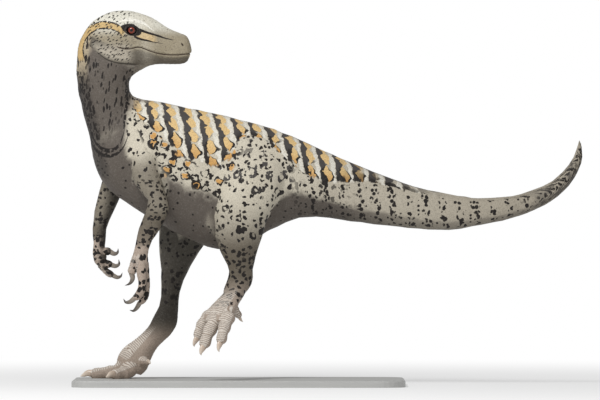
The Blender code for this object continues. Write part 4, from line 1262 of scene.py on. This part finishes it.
def paint_eye_stripe(coat, face):
    """The tan stripe from the eye round to the nape, with a broken black border."""
    x, z, mid = coat.fields("x z mid")
    middle_x, middle_z, size = STRIPE_ARC
    dx, dz = x - middle_x, z - middle_z
    off = (dx.math("POWER", 2.0) + dz.math("POWER", 2.0)).math("SQRT") - size + mid * 0.012
    bend = dz.math("ARCTAN2", dx)
    swath = (bend.rise(0.62, 0.78) | bend.rise(-2.6, -2.9)) * (z.rise(2.00, 2.03) | x.rise(-1.42, -1.44))
    stripe = off.math("ABSOLUTE").rise(0.020, 0.016) * swath * z.rise(1.90, 1.95) * x.rise(-1.20, -1.22)
    border = (off.math("ABSOLUTE") - 0.020).math("ABSOLUTE").rise(0.006, 0.003) * swath
    coat.paint(face * stripe, painted(EYE_STRIPE, (mid + 0.5), EYE_STRIPE_DARK))
    coat.paint(face * border * x.rise(-1.20, -1.22) * coat.broken.rise(0.44, 0.50), INK)


def paint_face(coat):
    """Black round the eye, lines before it with orange between, flecks on the cheek, and painted shade in the
    mouth's groove and the nostrils.
    """
    x, y, z, mid, fine, head, cheek = coat.fields("x y z mid fine head cheek")
    face = (head + coat.neck * z.rise(1.93, 1.96)).rise(0.3, 0.7)
    face *= (y - HEAD_Y).math("ABSOLUTE").rise(0.012, 0.02)
    paint_eye_stripe(coat, face)
    slanted = vector((x * 0.85 + z * 0.53 + mid * 0.03) / 0.030, (z * 0.85 - x * 0.53 + mid * 0.03) / 0.013)
    flecks = spots(slanted, 1.0, 0.20, 0.10, fine * 0.2, 0.03, (0.22, 0.26))
    coat.paint(face * cheek * coat.above_jaw * x.rise(-1.46, -1.42) * flecks, INK)
    patch = (z - x.curve([(a, b) for a, b, _ in FRONT_UPPER])).rise(0.0, -0.004)
    patch *= (z - x.curve([(a, b) for a, b, _ in FRONT_LOWER])).rise(0.0, 0.004)
    coat.paint(face * patch * x.rise(-1.01, -1.06) * x.rise(-1.15, -1.14) * 0.6, TAN)
    coat.paint(face * drawn(x, z, BROW_LINE, fine * 0.004), PALE)
    for line in (FRONT_UPPER, FRONT_LOWER):
        coat.paint(face * drawn(x, z, line, fine * 0.005), INK)
    # Painted shade in the groove along the mouth
    coat.paint(head * drawn(x, z, [(a, b, 0.003) for a, b in MOUTH], 0.0), MOUTH_SHADE)
    # Painted shade in the nostril slits
    dx, dz = x - NOSTRIL[0], z - NOSTRIL[1]
    long = (dx * 0.5 - dz * 0.86).math("ABSOLUTE") / 0.011
    short = (dx * 0.86 + dz * 0.5).math("ABSOLUTE") / 0.0045
    coat.paint(face * (long * long + short * short).rise(1.2, 0.8), NOSTRIL_SHADE)
    dx, dz = x - EYE[0], z - EYE[1]
    slant, rise = dx * 0.94 - dz * 0.34, dx * 0.34 + dz * 0.94
    rim = (slant.math("ABSOLUTE") / 0.062).math("POWER", 1.2) + rise * rise / 0.00130 + fine * 0.2
    coat.paint(face * rim.rise(1.1, 0.95), INK)
    small, _ = cells(coat.place, 1 / 0.022, 1.0, False)
    coat.paint(head * (small - 0.16 + fine * 0.2).rise(0.03, -0.01) * x.rise(-0.80, -1.0) * 0.7, FRECKLE)


def make_skin_material():
    material, tree, shader, place, (x, y, z) = new_material("skin", 0.6)
    shader.inputs["Specular IOR Level"].default_value = 0.22
    coat = Coat(tree, place, x, y, z)
    paint_body_ground(coat)
    paint_head_ground(coat)
    paint_limb_ground(coat)
    pebble, shade = cells(place, 1 / 0.0062, 1.0, False)
    coat.paint((shade * 0.5 + coat.fine).rise(0.2, 0.8) * 0.07, PALE)
    paint_stripes(coat)
    paint_rosettes(coat)
    paint_arm_marks(coat)
    paint_tail_marks(coat)
    paint_neck_marks(coat)
    paint_face(coat)
    # Scutes are pale on their ridges and darker between, and there is a little unevenness all over
    plate = (coat.scute * math.pi).math("SINE").math("ABSOLUTE")
    scaly = coat.scuted.rise(0.15, 0.6) * (coat.foot.rise(0.25, 0.9) | coat.arms)
    coat.paint(scaly * plate.rise(0.35, 0.75) * (0.35 + coat.foot * 0.45), SCUTE)
    coat.paint(scaly * plate.rise(0.35, 0.05) * 0.50, SCUTE_GAP)
    coat.paint(pebble.rise(0.35, 0.75) * 0.25, PEBBLE_GAP)
    plug(coat.colour, shader.inputs["Base Color"])
    pebbles = bump(pebble * scaly.inverse() * -1.0 + scaly * plate.rise(0.0, 0.6), 0.0011, tree)
    plug(bump(coat.fine + coat.mid, 0.0012, tree, pebbles), shader.inputs["Normal"])
    return material


def make_claw_material(name, root, tip):
    """Horn, darker or paler towards the tip, with fine grooves along it."""
    material, tree, shader, _, _ = new_material(name, 0.32)
    share = attribute(tree, "share")
    groove = noise(vector(attribute(tree, "round") * 9.0, share * 1.5, 0.0), 1.0, 3.0, 4.0)
    colour = painted(root, (share + groove * 0.35).rise(0.25, 0.95), tip)
    colour = painted(colour, (groove + 0.5).rise(0.55, 0.75) * 0.35, rgb(96, 82, 70))
    colour = painted(colour, share.rise(0.16, 0.05) * 0.6, rgb(120, 98, 84))
    plug(colour, shader.inputs["Base Color"])
    plug(bump(groove, 0.0008, tree), shader.inputs["Normal"])
    return material


def make_eye_material():
    """Red-brown iris streaked outwards from a dark pupil, under a wet surface."""
    material, _, shader, _, (x, _, z) = new_material("eye", 0.25)
    shader.inputs["Specular IOR Level"].default_value = 0.3
    shader.inputs["Coat Weight"].default_value = 0.35
    shader.inputs["Coat Roughness"].default_value = 0.03
    middle = next(eye_places())[2]
    dx, dz = x - float(middle[0]), z - float(middle[2])
    radius = (dx * dx + dz * dz).math("SQRT")
    angle = dz.math("ARCTAN2", dx)
    streak = noise(vector(angle * 6.0, radius * 60.0, 0.0), 1.0, 3.0, 5.0)
    colour = painted(rgb(132, 48, 18), (streak + 0.5).rise(0.35, 0.75), rgb(78, 20, 10))
    colour = painted(colour, radius.rise(0.016, 0.021), rgb(24, 11, 8))
    colour = painted(colour, radius.rise(0.0100, 0.0085), rgb(3, 2, 2))
    plug(colour, shader.inputs["Base Color"])
    return material


def make_stand_material():
    """Pale grey paint on board, with its faint brushing."""
    material, tree, shader, place, (x, y, z) = new_material("stand", 0.5)
    brushed = noise(vector(x * 3.0, y * 60.0, z * 60.0), 1.0, 3.0, 6.0)
    cloudy = noise(place, 4.0, 3.0, 7.0)
    colour = painted(rgb(176, 176, 174), (brushed + cloudy + 0.5), rgb(190, 190, 187))
    plug(colour, shader.inputs["Base Color"])
    plug(bump(brushed, 0.0004, tree), shader.inputs["Normal"])
    return material


def make_claw(name, line, radius, across, material):
    """A curved claw, flattened from side to side, its root sunk in the flesh."""
    first, second = line[0], line[1]
    back = (first - second) / np.linalg.norm(first - second)
    points = [first + back * 0.008, *line]
    shares = (0.96, 1.0, 0.84, 0.50, 0.05)
    sizes = [(radius * share, radius * share * 0.72) for share in shares]
    bm = bmesh.new()
    sides, steps = 20, 28
    add_rings(bm, tube_rings(points, sizes, across, sides, steps))
    claw = new_object(name, bm, material)
    share = np.repeat(np.arange(steps + 1) / steps, sides)
    turn = np.tile(np.abs(np.arange(sides) / sides * 2 - 1), steps + 1)
    for field, values, ends in (("share", share, (0.0, 1.0)), ("round", turn, (0.5, 0.5))):
        made = claw.data.attributes.new(field, "FLOAT", "POINT")
        made.data.foreach_set("value", np.concatenate([values, ends]).astype(np.float32))
    return claw


def make_eye(name, middle, radius, material):
    bm = bmesh.new()
    bmesh.ops.create_uvsphere(bm, u_segments=48, v_segments=32, radius=float(radius))
    bmesh.ops.translate(bm, verts=bm.verts, vec=Vector(middle))
    return new_object(f"{name}ball", bm, material)


# A long lens from far away, as flat as the drawing, at the middle of its view
LENS = 400.0
CAMERA_PLACE = (-0.168, -40.0, 1.114)


def make_camera():
    camera = bpy.data.cameras.new("camera")
    camera.sensor_width = 36.0
    camera.lens = LENS
    camera.clip_end = 1000.0
    obj = bpy.data.objects.new("camera", camera)
    bpy.context.scene.collection.objects.link(obj)
    obj.location = CAMERA_PLACE
    obj.rotation_euler = (math.radians(90), 0, 0)
    bpy.context.scene.camera = obj


def make_light(name, place, target, size, power):
    light = bpy.data.lights.new(name, "AREA")
    light.shape = "DISK"
    light.size = size
    light.energy = power
    obj = bpy.data.objects.new(name, light)
    obj.location = place
    obj.rotation_euler = (Vector(target) - Vector(place)).to_track_quat("-Z", "Y").to_euler()
    bpy.context.scene.collection.objects.link(obj)


def glow(tree, colour, strength):
    node = tree.nodes.new("ShaderNodeEmission")
    node.inputs["Color"].default_value = (*colour, 1.0)
    node.inputs["Strength"].default_value = strength
    return node.outputs[0]


def make_studio():
    """A pale floor that fades to the white behind it, and soft light from the upper left and front."""
    material, tree, shader, _, (x, y, _) = new_material("floor", 0.9)
    shader.inputs["Base Color"].default_value = (0.9, 0.9, 0.9, 1.0)
    mix = tree.nodes.new("ShaderNodeMixShader")
    plug((x * x + y * y).math("SQRT").rise(1.0, 7.0) * 0.6 + 0.4, mix.inputs[0])
    tree.links.new(shader.outputs[0], mix.inputs[1])
    tree.links.new(glow(tree, (1.0, 1.0, 1.0), 1.0), mix.inputs[2])
    tree.links.new(mix.outputs[0], tree.nodes["Material Output"].inputs[0])
    bm = bmesh.new()
    bmesh.ops.create_grid(bm, x_segments=8, y_segments=8, size=300.0)
    new_object("floor", bm, material)
    world = bpy.data.worlds.new("studio")
    bpy.context.scene.world = world
    world.use_nodes = True
    tree = world.node_tree
    light = tree.nodes["Background"]
    light.inputs["Color"].default_value = (1.0, 1.0, 1.0, 1.0)
    light.inputs["Strength"].default_value = 0.42
    white = tree.nodes.new("ShaderNodeBackground")
    white.inputs["Color"].default_value = (1.0, 1.0, 1.0, 1.0)
    mix = tree.nodes.new("ShaderNodeMixShader")
    tree.links.new(tree.nodes.new("ShaderNodeLightPath").outputs["Is Camera Ray"], mix.inputs[0])
    tree.links.new(light.outputs[0], mix.inputs[1])
    tree.links.new(white.outputs[0], mix.inputs[2])
    tree.links.new(mix.outputs[0], tree.nodes["World Output"].inputs[0])
    make_light("key", (-3.0, -4.5, 6.0), (-0.2, 0.0, 1.0), 2.0, 330.0)
    bpy.context.scene.view_settings.view_transform = "Standard"


FLESH = ["head", "neck", "torso", "tail_base", "tail_middle", "tail_tip"]
FLESH += [f"{side}_{part}" for side in ("left", "right")
          for part in ("upper_arm", "forearm", "hand", "thigh", "shin", "foot")]

skin = make_skin(make_skin_material())
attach(skin, "root")
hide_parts(*FLESH)
hand_horn = make_claw_material("hand_claw", rgb(142, 132, 120), rgb(66, 60, 55))
foot_horn = make_claw_material("foot_claw", rgb(196, 176, 158), rgb(222, 208, 192))
for node, digits in DIGITS.items():
    horn, share = (foot_horn, 0.74) if "foot" in node else (hand_horn, 0.76)
    for number, (_, radii, across, _, claw_line) in enumerate(digits, 1):
        claw = make_claw(f"{node}_horn_{number}", claw_line, radii[1] * share, across, horn)
        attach(claw, "root")
        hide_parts(f"{node}_claw_{number}")
eye_material = make_eye_material()
for name, _, middle, radius in eye_places():
    eye = make_eye(name, middle, radius, eye_material)
    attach(eye, "root")
    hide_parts(name)
stand = bpy.data.objects["stand_base"]
stand.data.materials.clear()
stand.data.materials.append(make_stand_material())
make_camera()
make_studio()
